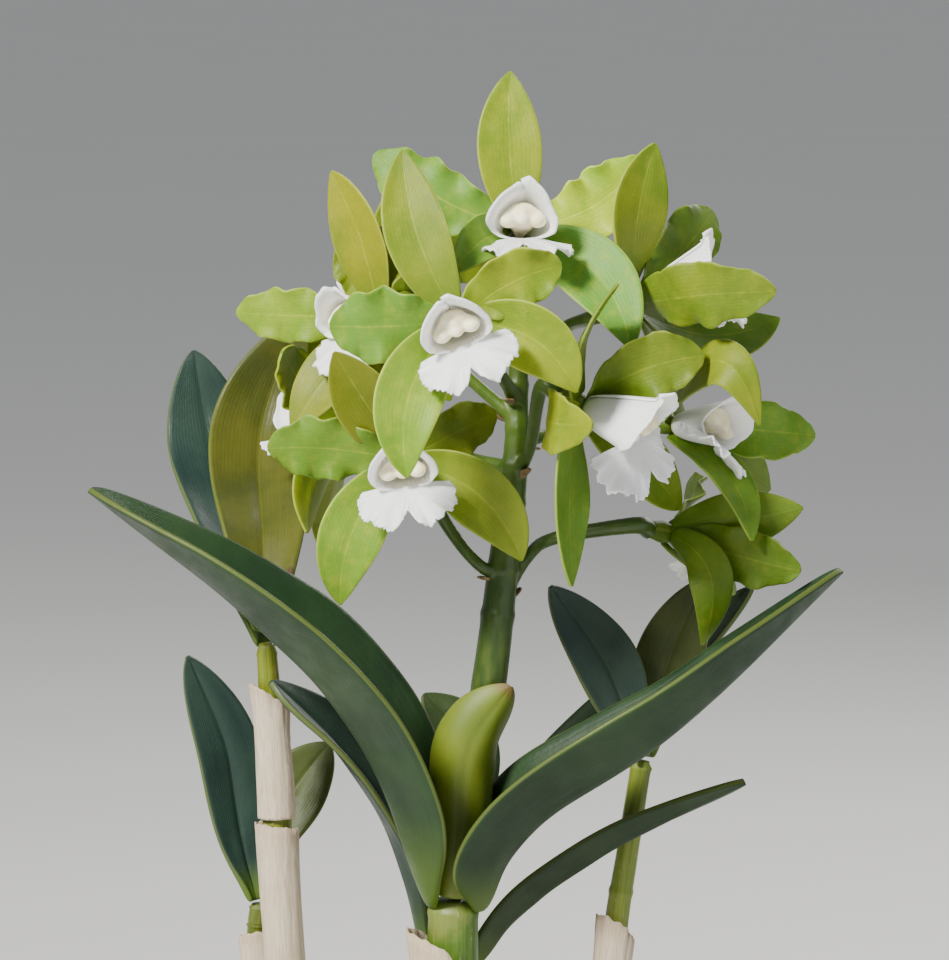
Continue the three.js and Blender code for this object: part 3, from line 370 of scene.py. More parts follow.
# Small sums.
def lerp(a, b, t):
    return a + (b - a) * t


def clamp(value, low=0.0, high=1.0):
    return min(max(value, low), high)


def smoothstep(low, high, value):
    t = clamp((value - low) / (high - low))
    return t * t * (3 - 2 * t)


def along(values, t):
    """A value that runs through a list of values from root to tip."""
    at = clamp(t) * (len(values) - 1)
    i = min(int(at), len(values) - 2)
    return lerp(values[i], values[i + 1], at - i)


def hump(value, middle, width):
    """1 at the middle, falling to nothing within about two widths."""
    return math.exp(-(((value - middle) / width) ** 2))


def rough(x, y=0.0, z=0.0):
    """Smooth noise from -1 to 1."""
    return noise.noise(Vector((x, y, z)))


def spline_point(points, t):
    """A point of the smooth curve that passes through all the points."""
    at = clamp(t) * (len(points) - 1)
    i = min(int(at), len(points) - 2)
    k = at - i
    before = points[i - 1] if i else 2 * points[0] - points[1]
    after = points[i + 2] if i + 2 < len(points) else 2 * points[-1] - points[-2]
    start, end = points[i], points[i + 1]
    leave, arrive = (end - before) / 2, (after - start) / 2
    bend = -3 * start + 3 * end - 2 * leave - arrive
    return start + leave * k + bend * k**2 + (2 * start - 2 * end + leave + arrive) * k**3


def rib_point(points, t):
    """A point of a rib: through its points, or over one point in between."""
    if len(points) > 3:
        return spline_point(points, t)
    return points[0] * (1 - t) ** 2 + points[1] * 2 * t * (1 - t) + points[2] * t**2


def heading(points, t):
    ahead = rib_point(points, min(t + 1e-3, 1)) - rib_point(points, max(t - 1e-3, 0))
    return ahead.normalized()


def square(direction, ahead):
    """The part of a direction that is square to another one."""
    return (direction - ahead * direction.dot(ahead)).normalized()


def turned(direction, axis, angle):
    return Quaternion(axis, angle) @ direction


# Modelling steps that every piece goes through.
def deselect():
    bpy.ops.object.select_all(action="DESELECT")


def only(piece):
    """Makes a piece the only one that the next operators work on."""
    deselect()
    piece.select_set(True)
    bpy.context.view_layer.objects.active = piece


def apply_modifiers(piece):
    only(piece)
    for modifier in list(piece.modifiers):
        bpy.ops.object.modifier_apply(modifier=modifier.name)


def join_pieces(name, parts):
    only(parts[0])
    for part in parts:
        part.select_set(True)
    bpy.ops.object.join()
    parts[0].name = parts[0].data.name = name
    return parts[0]


def set_grain(piece, values):
    """The place of each point on the surface, for patterns that follow it."""
    grain = piece.data.attributes.new("grain", "FLOAT_VECTOR", "POINT")
    grain.data.foreach_set("vector", [number for value in values for number in value])


def set_tone(piece, tone):
    """The tint of a blade or chip: how yellow, how light, how brown. On tepals the lightness is painted light and
    shade.
    """
    colour = piece.data.color_attributes.new("tone", "FLOAT_COLOR", "POINT")
    colour.data.foreach_set("color", [*tone, 1.0] * len(piece.data.vertices))


def add_grid(name, rows, columns, row_at):
    """A grid, moved row by row to its place. row_at(s) gives, for s from 0 to 1
    along the piece, the function that places u from -1 to 1 across it."""
    deselect()
    bpy.ops.mesh.primitive_grid_add(x_subdivisions=columns, y_subdivisions=rows, size=2)
    piece = bpy.context.active_object
    piece.name = piece.data.name = name
    placed = {}
    grain = []
    for vertex in piece.data.vertices:
        u = vertex.co.x
        row = round((vertex.co.y + 1) / 2 * rows)
        if row not in placed:
            placed[row] = row_at(row / rows)
        point, mark = placed[row](u)
        vertex.co = point * MM
        grain.append(mark)
    set_grain(piece, grain)
    return piece


def add_tube(name, rings, sides, ring_at):
    """A cylinder, cut into rings that are moved to their place. ring_at(s) gives
    the function that places the points of a ring by their angle."""
    deselect()
    bpy.ops.mesh.primitive_cylinder_add(vertices=sides, radius=1, depth=2)
    piece = bpy.context.active_object
    piece.name = piece.data.name = name
    mesh = piece.data
    bpy.ops.object.mode_set(mode="EDIT")
    bpy.ops.mesh.select_mode(type="EDGE")
    bpy.ops.mesh.select_all(action="DESELECT")
    bpy.ops.object.mode_set(mode="OBJECT")
    for edge in mesh.edges:
        low, high = (mesh.vertices[i].co.z for i in edge.vertices)
        edge.select = abs(high - low) > 1
    bpy.ops.object.mode_set(mode="EDIT")
    bpy.ops.mesh.subdivide(number_cuts=rings - 1)
    bpy.ops.object.mode_set(mode="OBJECT")
    placed = {}
    grain = []
    for vertex in mesh.vertices:
        angle = math.atan2(vertex.co.y, vertex.co.x)
        ring = round((vertex.co.z + 1) / 2 * rings)
        if ring not in placed:
            placed[ring] = ring_at(ring / rings)
        vertex.co = placed[ring](angle) * MM
        grain.append((math.cos(angle), math.sin(angle), ring / rings))
    set_grain(piece, grain)
    return piece


def thicken(piece, thick, rim_share, rounds):
    """Gives a sheet its thickness, thinner towards its margins, and smooths it."""
    body = piece.vertex_groups.new(name="body")
    grain = piece.data.attributes["grain"].data
    for vertex in piece.data.vertices:
        across = min(1.0, abs(grain[vertex.index].vector.x))
        body.add([vertex.index], 1 - across**3, "REPLACE")
    wall = piece.modifiers.new("wall", "SOLIDIFY")
    wall.thickness = thick * MM
    wall.offset = 0
    wall.vertex_group = "body"
    wall.thickness_vertex_group = rim_share
    wall.material_offset = 1
    if rounds:
        smoothing = piece.modifiers.new("smoothing", "SUBSURF")
        smoothing.levels = smoothing.render_levels = rounds
    apply_modifiers(piece)
    piece.vertex_groups.clear()
    bpy.ops.object.shade_smooth()


def melt(piece, voxel, rounds=4):
    """Joins what overlaps in a piece into one skin, and smooths the joints."""
    skin = piece.modifiers.new("skin", "REMESH")
    skin.mode = "VOXEL"
    skin.voxel_size = voxel * MM
    skin.use_smooth_shade = True
    smoothing = piece.modifiers.new("smoothing", "SMOOTH")
    smoothing.factor = 0.5
    smoothing.iterations = rounds
    apply_modifiers(piece)


def finish_piece(piece, slot, materials, *nodes):
    piece.data.materials.clear()
    for material in materials:
        piece.data.materials.append(material)
    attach(piece, "root")
    if nodes:
        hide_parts(*nodes)


# Blades: leaves, tepals and the spathe.
def blade_row(blade, t):
    """Places the points across a blade at t from its root to its tip. Cup rolls
    both sides forward, fold makes a keel of the rib, and wave ruffles the
    margins, with a finer ruffle on top of it."""
    rib, face = blade["rib"], blade["face"]
    ahead = heading(rib, t)
    up = square(face[0].lerp(face[1], t ** blade.get("turn_ease", 1)), ahead)
    side = ahead.cross(up)
    centre = rib_point(rib, t)
    root, widest, blunt = blade["outline"]
    belly = max(0.0, math.sin(math.pi * min(t**widest, 1))) ** blunt
    full = max(blade.get("tip_half", 0.5), blade["width"] / 2 * (root * (1 - t) ** 5 + belly))
    full *= lerp(blade.get("foot", 1), 1, smoothstep(0, 0.16, t))
    wave, waves, phase = blade.get("wave", 0), blade.get("waves", 3), blade.get("phase", 0)
    cup, keel = math.radians(along(blade["cup"], t)), math.radians(along(blade.get("fold", [0, 0]), t))
    swell = math.sqrt(max(0.0, math.sin(math.pi * t**0.8)))
    groove = blade.get("groove", 0.3) * swell
    frill = blade.get("frill", 0)
    seed = blade.get("seed", 0)

    def place(u):
        edge = abs(u)
        hand = 0.2 if u > 0 else 0.55
        scallop = math.sin(2 * math.pi * (waves * 1.3 * t + hand))
        crimp = frill * (math.sin(2 * math.pi * (waves * 3.7 * t + 2 * hand)) + rough(t * 22, u, seed))
        half = full * (1 + wave / 26 * scallop * edge) + crimp * 0.35 * edge**6 * swell
        curl = cup * u + 1e-6
        radius = half * u / curl
        ruffle = math.sin(2 * math.pi * (waves * t + phase + (0 if u > 0 else 0.37)))
        crinkle = frill * edge**4 * math.sin(2 * math.pi * (waves * 3.1 * t + phase + hand * 3))
        across = radius * math.sin(curl) * math.cos(keel)
        rise = radius * (1 - math.cos(curl)) + edge * half * math.sin(keel)
        rise += (wave * u * u * ruffle + crinkle) * swell - groove * hump(u, 0, 0.07)
        rise += blade.get("unrest", 0.2) * swell * rough(t * 5, u * 1.6, seed + 7)
        return centre + side * across + up * rise, (u, t, seed)

    return place


def add_blade(name, blade, rows, columns, thick, rim_share, rounds=1):
    piece = add_grid(name, rows, columns, lambda s: blade_row(blade, 1 - (1 - s) ** 1.6))
    thicken(piece, thick, rim_share, rounds)
    return piece


# Blooms.
def bloom_axes(bloom):
    """The axes of a bloom: to its right, up, and forward."""
    yaw, pitch, roll = (math.radians(bloom[key]) for key in ("yaw", "pitch", "roll"))
    ahead = Vector((math.sin(yaw) * math.cos(pitch), -math.cos(yaw) * math.cos(pitch), math.sin(pitch)))
    level = Vector((math.cos(yaw), math.sin(yaw), 0))
    upright = ahead.cross(level)
    up = upright * math.cos(roll) + level * math.sin(roll)
    right = level * math.cos(roll) - upright * math.sin(roll)
    return right, up, ahead


def tepal_blade(tepal, hub, ahead):
    """A tepal's rib runs from the hub to its tip, over a point that arches it
    forward and sways it to a side."""
    tip = Vector(tepal["tip"])
    aim = Vector(tepal.get("over", tepal["tip"])) - hub
    root = square(aim, ahead) * TEPAL_ROOT + hub
    face = Vector(tepal["face"]).normalized() if "face" in tepal else ahead
    run = (tip - root).normalized()
    up = square(face, run)
    middle = (root + tip) / 2 + up * 2 * tepal["arch"] + run.cross(up) * 2 * tepal["sway"]
    if tepal["outline"] is SEPAL:
        root = root - ahead * SEPAL_BEHIND
    over = Vector(tepal["over"]) if "over" in tepal else middle
    return tepal | dict(rib=[root, over, tip], face=[ahead, face], turn_ease=0.5)


def model_tepals(name, bloom, number):
    """Five tepals on a rounded hub."""
    hub = Vector(bloom["hub"])
    right, up, ahead = bloom_axes(bloom)
    parts = []
    for order, key in enumerate(TEPALS):
        tepal = bloom[key]
        blade = tepal_blade(tepal, hub, ahead) | dict(seed=number * 5 + order)
        is_petal = tepal["outline"] is PETAL
        blade |= dict(frill=0.7 if is_petal else 0.08, groove=0.3, unrest=0.5)
        rows, columns = PETAL_GRID if is_petal else SEPAL_GRID
        part = add_blade(f"{name}_{key}", blade, rows, columns, TEPAL_THICK, 0.28)
        set_tone(part, bloom_tone(number, key))
        parts.append(part)
    profile = (0.74, 0.8, 0.88, 0.97, 1, 0.9, 0.55)

    def ring_at(s):
        depth = lerp(-HUB_BACK, HUB_FRONT, s)
        share = along(profile, s)
        return lambda angle: hub + ahead * depth + (
            right * math.cos(angle) + up * math.sin(angle)
        ) * (HUB_RADIUS * share * (1 + 0.05 * math.cos(3 * angle)))

    disc = add_tube(f"{name}_hub", 8, 24, ring_at)
    bpy.ops.object.shade_smooth()
    set_tone(disc, bloom_tone(number, "hub"))
    parts.append(disc)
    return join_pieces(name, parts)


def hood_point(s, v, seed):
    """The hood, rolled round the column. Its floor is flat, its margin turns out
    and ripples, and its two sides end in a point and lap over each other on top."""
    turn = math.radians(HOOD_TURN) * v
    side = abs(v)
    up = (1 - math.cos(turn)) / 2
    swell = s**0.75 * (1.18 - 0.18 * s)
    lap = math.copysign(HOOD_LAP, v) * smoothstep(0.82, 1, side)
    flare = 1.1 * clamp((s - 0.8) / 0.2) ** 2 * min(1.0, 4 * up)
    ripple = 0.5 * s**6 * (math.sin(8.5 * v + seed) + rough(v * 7, seed)) * min(1.0, 3 * up)
    wide = HOOD_THROAT + (HOOD_WIDE - HOOD_THROAT) * swell + flare + ripple + lap
    high = HOOD_THROAT + (HOOD_HIGH - HOOD_THROAT) * swell + flare + ripple + lap
    flat = HOOD_FLAT * min(1.0, 1.5 * s)
    point = 0.7 * s**6 * hump(side, 0.93, 0.045)
    reach = HOOD_BOTTOM + (HOOD_TOP - HOOD_BOTTOM) * up**0.8
    depth = reach - LIP_BASE - 2.6 * s**6 * smoothstep(0.94, 1, side)
    return Vector((
        wide * math.sin(turn) * (1 - 0.12 * s * up**2),
        -high * math.cos(turn) * (1 - flat * (1 - up)) + 2.2 * s * up**6 + 0.4 * s + point,
        LIP_BASE + s * depth - 1.2 * flare + 1.5 * ripple + 0.3 * s**3 * rough(v * 24, seed + 2),
    ))


def hung(across, ahead, lift, droop):
    """A point of the neck or the fan, which hang forward and down."""
    c, s = math.cos(math.radians(droop)), math.sin(math.radians(droop))
    return Vector((across, FAN_ROOT_Y - ahead * s + lift * c, FAN_ROOT_Z + ahead * c + lift * s))


def fan_point(q, v, droop, seed):
    """The two-lobed fan, with a fringed and ruffled margin and fine veins."""
    side = abs(v)
    notch = 1 - 0.42 * hump(FAN_SPREAD * v, 0, 11)
    fringe = 0.05 * rough(v * 11, seed) + 0.045 * rough(v * 37, seed + 3) + 0.05 * rough(v * 71, seed + 5)
    reach = FAN_REACH * notch * (1 - 0.22 * side**5) * (1 + 0.1 * side**1.5) * (1 + fringe * q**10) * q
    across = reach * math.sin(math.radians(FAN_SPREAD * v))
    ahead = reach * math.cos(math.radians(FAN_SPREAD * v))
    lobes = 1.6 * (reach / FAN_REACH) * math.sin(math.pi * min(1.0, side * 1.25))
    ruffle = 0.9 * q**3 * math.sin(5 * math.pi * side + 0.6)
    ruffle += 0.6 * q**6 * math.sin(12 * math.pi * side + seed + 2 * rough(v * 3, seed))
    ruffle += 0.5 * q**2 * rough(v * 7, q * 2.5, seed) + 0.35 * q**10 * rough(v * 33, seed + 8)
    vein = 0.07 * q * math.cos(66 * v)
    return hung(across, ahead, lobes - 0.012 * reach**2 - 0.005 * across**2 + ruffle + vein, droop)


def hood_share(u):
    """Across the lip, its middle third is the neck."""
    if abs(u) <= 1 / 3:
        return 3 * u * NECK_SHARE
    return math.copysign(lerp(NECK_SHARE, 1, (abs(u) - 1 / 3) * 1.5), u)


def model_lip(name, bloom, number):
    """One sheet: the hood, a neck in the middle of its lower edge, and the fan."""
    size, droop = bloom.get("size", 1), bloom.get("droop", FAN_DROOP)
    hub = Vector(bloom["hub"])
    axes = Matrix(bloom_axes(bloom)).transposed()

    def put(point):
        return hub + axes @ (point * size)

    def neck_edge(u):
        return hung(NECK_HALF * u, NECK_REACH, 0.3 * u * u, droop)

    def hood_row(s):
        return lambda u: (put(hood_point(s, hood_share(u), number)), (hood_share(u), s, 0))

    def neck_row(s):
        def place(u):
            return put(hood_point(1, u * NECK_SHARE, number).lerp(neck_edge(u), s)), (0, 1 + 0.2 * s, 0)

        return place

    def fan_row(s):
        q = lerp(FAN_START, 1, clamp((s - 0.2) / 0.8))

        def place(u):
            root = neck_edge(clamp(3 * u, -1, 1))
            point = fan_point(q, u, droop, number)
            return put(root.lerp(point, smoothstep(0, 1, s / 0.2) if s < 0.2 else 1)), (u, 1.2 + s, 0)

        return place

    hood = add_grid(f"{name}_hood", 20, LIP_COLUMNS, hood_row)
    neck = add_grid(f"{name}_neck", 3, LIP_COLUMNS // 3, neck_row)
    fan = add_grid(f"{name}_fan", 26, LIP_COLUMNS, fan_row)
    lip = join_pieces(name, [hood, neck, fan])
    bpy.ops.object.mode_set(mode="EDIT")
    bpy.ops.mesh.select_all(action="SELECT")
    bpy.ops.mesh.remove_doubles(threshold=1e-5)
    bpy.ops.object.mode_set(mode="OBJECT")
    thicken(lip, LIP_THICK, 0.45, 0)
    return lip


def model_column(name, bloom):
    """The column in the hood: a dome over a low keel, with the anther cap in
    the middle of its front edge and a broad wing on either side."""
    size = bloom.get("size", 1)
    hub = Vector(bloom["hub"])
    axes = Matrix(bloom_axes(bloom)).transposed()

    def ring_at(s):
        wide = 2.3 + 3.9 * s**1.4
        high = 2.3 + 1.5 * s
        lift = 0.4 + 2.0 * s

        def place(angle):
            narrow = 1 - 0.35 * s * max(0.0, math.sin(angle))
            hollow = 1 - 0.3 * s * hump(angle, -math.pi / 2, 0.7)
            point = Vector((
                wide * math.cos(angle) * narrow,
                high * math.sin(angle) * hollow + lift,
                LIP_BASE + (COLUMN_LENGTH - 2) * s,
            ))
            return hub + axes @ (point * size)

        return place

    lobes = [add_tube(f"{name}_stem", 10, 20, ring_at)]
    for across, up, ahead, wide, high, deep in (
        (-4.3, 0.9, 15.8, 2.7, 2.2, 3.4),
        (4.3, 0.9, 15.8, 2.7, 2.2, 3.4),
        (0, 3.4, 15.2, 4.3, 3.1, 3.2),
        (0, 1.1, 17.6, 2.2, 1.9, 2.2),
        (0, 3.3, 18.0, 1.5, 1.3, 1.1),
    ):
        deselect()
        bpy.ops.mesh.primitive_uv_sphere_add(segments=16, ring_count=10, radius=1)
        lobe = bpy.context.active_object
        for vertex in lobe.data.vertices:
            x, y, z = vertex.co
            point = Vector((across + wide * x, up + high * y - 0.4 * z, ahead + deep * z))
            vertex.co = (hub + axes @ (point * size)) * MM
        lobes.append(lobe)
    column = join_pieces(name, lobes)
    melt(column, 0.42, 3)
    return column


# Canes, sheaths, stalk and rhizome.
def frames_along(points, count):
    """Where each ring of a tube stands: its centre, the way ahead, and a
    direction out of it that doesn't twist along the tube."""
    out = Vector((0, -1, 0))
    if abs(heading(points, 0).y) >= 0.9:
        out = Vector((1, 0, 0))
    frames = []
    for i in range(count + 1):
        t = i / count
        ahead = heading(points, t)
        out = square(out, ahead)
        frames.append((rib_point(points, t), ahead, out))
    return frames


def add_stalk(name, points, radii, rings, sides, skin):
    """A tube through points. skin(t, angle) is added to its radius."""
    points = [Vector(point) for point in points]
    if len(points) == 3:
        points.insert(2, (points[1] + points[2]) / 2)
    frames = frames_along(points, rings)

    def ring_at(s):
        centre, ahead, out = frames[round(s * rings)]
        return lambda angle: centre + turned(out, ahead, angle) * (along(radii, s) + skin(s, angle))

    return add_tube(name, rings, sides, ring_at)


CANE_JOINTS = {
    "cane_main": (0.02, 0.2, 0.44, 0.7, 0.975),
    "cane_second": (0.02, 0.24, 0.5, 0.76, 0.97),
    "cane_left_tall": (0.02, 0.17, 0.35, 0.52, 0.66, 0.8, 0.9, 0.985),
    "cane_left_low": (0.02, 0.28, 0.55, 0.8, 0.97),
    "cane_right_tall": (0.02, 0.22, 0.44, 0.63, 0.8, 0.98),
    "cane_back": (0.02, 0.26, 0.52, 0.78, 0.97),
}


def model_cane(name):
    """A cane with furrows that shrank into it, and a ring at each joint."""
    points, radii = CANES[name]
    joints = CANE_JOINTS[name]
    seed = len(name)

    def skin(t, angle):
        furrow = 0.5 + 0.5 * math.cos(9 * angle + 1.2 * rough(t * 6, seed))
        depth = (0.28 + 0.12 * rough(t * 9, seed + 4)) * (1 - 0.5 * t)
        ring = max(hump(t, joint, 0.006) for joint in joints)
        nick = max(hump(t, joint + 0.012, 0.004) for joint in joints)
        close = -0.25 * along(radii, t) * (smoothstep(0.985, 1, t) + smoothstep(0.02, 0, t))
        return 0.35 * ring - 0.25 * nick - furrow * depth + close

    cane = add_stalk(name, points, radii, 150, 40, skin)
    bpy.ops.object.shade_smooth()
    return cane


def model_sheath(name):
    """A dry sheath round a cane, open at its back, with a frayed top edge."""
    cane, start, end, climb, turn, peel = SHEATHS[name]
    points, radii = CANES[cane]
    points = [Vector(point) for point in points]
    seed = len(name) + turn
    length = (points[-1] - points[0]).length

    def row_at(t):
        def place(u):
            torn = u * (1 - 0.05 * (1 + rough(t * 14, u, seed)))
            angle = torn * math.radians(SHEATH_WRAP)
            lean = (1 + math.cos(angle)) / 2
            fray = (1.8 * rough(angle * 3, seed) + 1.5 * rough(angle * 9, seed + 5)) / length
            at = lerp(start, end + climb * lean + fray, t)
            ahead = heading(points, at)
            front = square(Vector((0, -1, 0)), ahead)
            out = turned(front, ahead, math.radians(turn) - angle)
            pleat = 0.28 * (1 + rough(angle * 5, at * 7, seed)) + 0.12 * (1 + math.cos(26 * angle))
            lift = smoothstep(0.75, 1, t) * 0.5 * (1 + rough(angle * 4, seed + 9))
            radius = along(radii, at) + SHEATH_GAP + SHEATH_THICK / 2 + pleat + lift + peel * lean * t**5
            return rib_point(points, at) + out * radius, (u, t, at * length)

        return place

    sheath = add_grid(name, *SHEATH_GRID, row_at)
    thicken(sheath, SHEATH_THICK, 0.7, 0)
    return sheath


def model_spray():
    """The flower stalk with the ribbed stem of each bloom."""
    def stalk_skin(t, angle):
        rings = max(hump(t, joint, 0.008) for joint in (0.03, 0.33, 0.52, 0.6, 0.72, 0.79, 0.86, 0.93))
        return 0.45 * rings + 0.12 * math.cos(7 * angle)

    parts = [add_stalk("stalk", *RACHIS, 90, 28, stalk_skin)]
    for name, passes in PEDICELS.items():
        bloom = BLOOMS[name]
        hub = Vector(bloom["hub"])
        ahead = bloom_axes(bloom)[2]
        points = [*passes, hub - ahead * 14, hub - ahead * (HUB_BACK - 0.4)]
        parts.append(add_stalk(f"stem_{name}", points, [2.0, 1.8, 1.9, 2.4, 2.9], 40, 18, stem_skin))
    spray = join_pieces("flower_stalk_and_stems", parts)
    melt(spray, 0.55, 3)
    return spray


def stem_skin(t, angle):
    return 0.55 * hump(t, 0, 0.06) + 0.16 * t * math.cos(6 * angle) + 0.25 * hump(t, 0.08, 0.03)


def model_bracts():
    """The small dry bract under each bloom's stem."""
    parts = []
    for number, (name, passes) in enumerate(PEDICELS.items()):
        start, towards = Vector(passes[0]), Vector(passes[1])
        run = (towards - start).normalized()
        down = square(Vector((0, 0, -1)), run)
        root = start + run * 2.2 + down * 2.4
        tip = start + run * 7.5 + down * 3.4
        blade = dict(outline=LANCE, width=4.2, rib=[root, (root + tip) / 2 + down * 0.8, tip])
        blade |= dict(face=[-down, -down], cup=[75, 60, 30], groove=0, unrest=0.1, seed=number)
        parts.append(add_blade(f"bract_{name}", blade, 6, 6, 0.5, 0.6))
    return join_pieces("stem_bracts", parts)


def model_rhizome():
    """The creeping rhizome with its roots, in one skin."""
    def ringed(t, angle):
        rings = math.cos(2 * math.pi * 17 * t) ** 8
        return 0.35 * rings + 0.3 * rough(t * 20, math.cos(angle), math.sin(angle))

    def knobbly(t, angle):
        return 0.25 * rough(t * 12, math.cos(angle), math.sin(angle)) - 0.5 * smoothstep(0.9, 1, t)

    parts = []
    for run in RHIZOME:
        points = [(x, y, RHIZOME_LEVEL) for x, y in run]
        parts.append(add_stalk("rhizome_run", points, RHIZOME_RADII, 130, 22, ringed))
    for root in ROOTS:
        points = [(x, y, level) for (x, y), level in zip(root, ROOT_LEVELS)]
        parts.append(add_stalk("root", points, ROOT_RADII, 40, 12, knobbly))
    rhizome = join_pieces("creeping_rhizome", parts)
    melt(rhizome, 0.7, 3)
    return rhizome


# Pot and bark.
def inner_radius(height):
    foot, top = POT_FOOT_RADIUS - POT_WALL, POT_RIM_RADIUS - POT_WALL
    return lerp(foot, top, (height - POT_FLOOR) / (POT_HEIGHT - POT_FLOOR))


def model_pot():
    """A circle, extruded up the outside and down the inside, closed at both
    ends, with rounded edges and four drain holes."""
    rim_foot = POT_HEIGHT - POT_RIM_HEIGHT
    profile = [
        (POT_FOOT_RADIUS, 0),
        (POT_RIM_RADIUS - 2 * POT_RIM_STEP, rim_foot - 2),
        (POT_RIM_RADIUS - POT_RIM_STEP / 2, rim_foot),
        (POT_RIM_RADIUS, POT_HEIGHT - 2),
        (POT_RIM_RADIUS - 2, POT_HEIGHT),
        (inner_radius(POT_HEIGHT), POT_HEIGHT),
        (inner_radius(POT_FLOOR), POT_FLOOR),
    ]
    deselect()
    radius, height = profile[0]
    bpy.ops.mesh.primitive_circle_add(vertices=POT_SIDES, radius=radius * MM, fill_type="NGON")
    pot = bpy.context.active_object
    pot.name = pot.data.name = "clay_pot"
    bpy.ops.object.mode_set(mode="EDIT")
    bpy.ops.mesh.select_all(action="SELECT")
    for next_radius, next_height in profile[1:]:
        rise = (0, 0, (next_height - height) * MM)
        bpy.ops.mesh.extrude_region_move(TRANSFORM_OT_translate={"value": rise})
        share = next_radius / radius
        bpy.ops.transform.resize(value=(share, share, 1), center_override=(0, 0, 0))
        radius, height = next_radius, next_height
    bpy.ops.mesh.select_all(action="SELECT")
    bpy.ops.mesh.normals_make_consistent(inside=False)
    bpy.ops.object.mode_set(mode="OBJECT")
    drills = []
    for i in range(DRAIN_HOLES):
        turn = 2 * math.pi * (i + 0.5) / DRAIN_HOLES
        deselect()
        outward = Vector((math.cos(turn), math.sin(turn), 0))
        place = outward * DRAIN_HOLE_CIRCLE + Vector((0, 0, POT_FLOOR / 2))
        bpy.ops.mesh.primitive_cylinder_add(
            vertices=40, radius=DRAIN_HOLE_RADIUS * MM, depth=3 * POT_FLOOR * MM, location=place * MM
        )
        drills.append(bpy.context.active_object)
    drill = join_pieces("drill", drills)
    cut = pot.modifiers.new("drain_holes", "BOOLEAN")
    cut.operation = "DIFFERENCE"
    cut.object = drill
    edges = pot.modifiers.new("rounded_edges", "BEVEL")
    edges.width = 1.1 * MM
    edges.segments = 3
    edges.limit_method = "ANGLE"
    edges.angle_limit = math.radians(25)
    apply_modifiers(pot)
    bpy.data.objects.remove(drill)
    bpy.ops.object.shade_smooth_by_angle(angle=math.radians(30))
    return pot


def add_chip_form(random_source):
    """An angular flake of bark: a block, cut up, skewed and broken at its ends."""
    deselect()
    bpy.ops.mesh.primitive_cube_add(size=1)
    form = bpy.context.active_object
    bpy.ops.object.mode_set(mode="EDIT")
    bpy.ops.mesh.subdivide(number_cuts=2)
    bpy.ops.object.mode_set(mode="OBJECT")
    seed = random_source.random() * 40
    for vertex in form.data.vertices:
        x, y, z = vertex.co
        x += 0.16 * rough(y * 2.6, z * 2.2, seed)
        y += 0.15 * rough(x * 2.4, z * 2.0, seed + 3)
        z += 0.20 * rough(x * 2.1, y * 2.7, seed + 6) + 0.1 * x * y
        taper = 1 - 0.3 * abs(x) * (1 + rough(seed, y))
        vertex.co = Vector((x, y * taper, z * taper))
    return form


def near_rhizome(x, y):
    runs = [point for run in RHIZOME for point in run]
    pairs = [pair for run in RHIZOME for pair in zip(run[:-1], run[1:])]
    nearest = min(math.hypot(x - px, y - py) for px, py in runs)
    for (ax, ay), (bx, by) in pairs:
        length = (bx - ax) ** 2 + (by - ay) ** 2
        t = clamp(((x - ax) * (bx - ax) + (y - ay) * (by - ay)) / length)
        nearest = min(nearest, math.hypot(x - lerp(ax, bx, t), y - lerp(ay, by, t)))
    return nearest


def model_bark():
    """A bed of bark with loose chips that lie over each other on it."""
    chance = random.Random(BARK_SEED)
    deselect()
    top, foot = inner_radius(BARK_LEVEL) - 0.6, inner_radius(POT_FLOOR) - 0.6
    bpy.ops.mesh.primitive_cone_add(
        vertices=72, radius1=foot * MM, radius2=top * MM, depth=(BARK_LEVEL - POT_FLOOR - 1) * MM,
        location=(0, 0, (BARK_LEVEL + POT_FLOOR) / 2 * MM),
    )
    bed = bpy.context.active_object
    bpy.ops.object.transform_apply(location=True)
    set_tone(bed, (0.2, 0.25, 0.2))
    forms = [add_chip_form(chance) for _ in range(BARK_FORMS)]
    parts = [bed]
    for i in range(BARK_CHIPS):
        reach = math.sqrt((i + 0.5) / BARK_CHIPS) * (top - 5)
        turn = i * 2.39996 + 0.5 * chance.random()
        x, y = reach * math.cos(turn), reach * math.sin(turn)
        long = 7 + 9 * chance.random() ** 1.5
        wide = 5 + 5 * chance.random()
        deep = 2.2 + 2.6 * chance.random()
        crowd = near_rhizome(x, y)
        height = BARK_LEVEL - 0.6 + 3.6 * chance.random() * smoothstep(4, 11, crowd)
        tilt = [chance.uniform(-0.45, 0.45), chance.uniform(-0.45, 0.45), chance.uniform(0, 6.3)]
        tone = (chance.random(), chance.random(), chance.random())
        chip = forms[i % BARK_FORMS].copy()
        chip.data = forms[i % BARK_FORMS].data.copy()
        bpy.context.collection.objects.link(chip)
        spin = Matrix.Rotation(tilt[2], 4, "Z") @ Matrix.Rotation(tilt[0], 4, "X") @ Matrix.Rotation(tilt[1], 4, "Y")
        place = Matrix.Translation(Vector((x, y, height)) * MM)
        chip.data.transform(place @ spin @ Matrix.Diagonal((long * MM, wide * MM, deep * MM, 1)))
        set_tone(chip, tone)
        parts.append(chip)
    for form in forms:
        bpy.data.objects.remove(form)
    return join_pieces("bark_chips", parts)


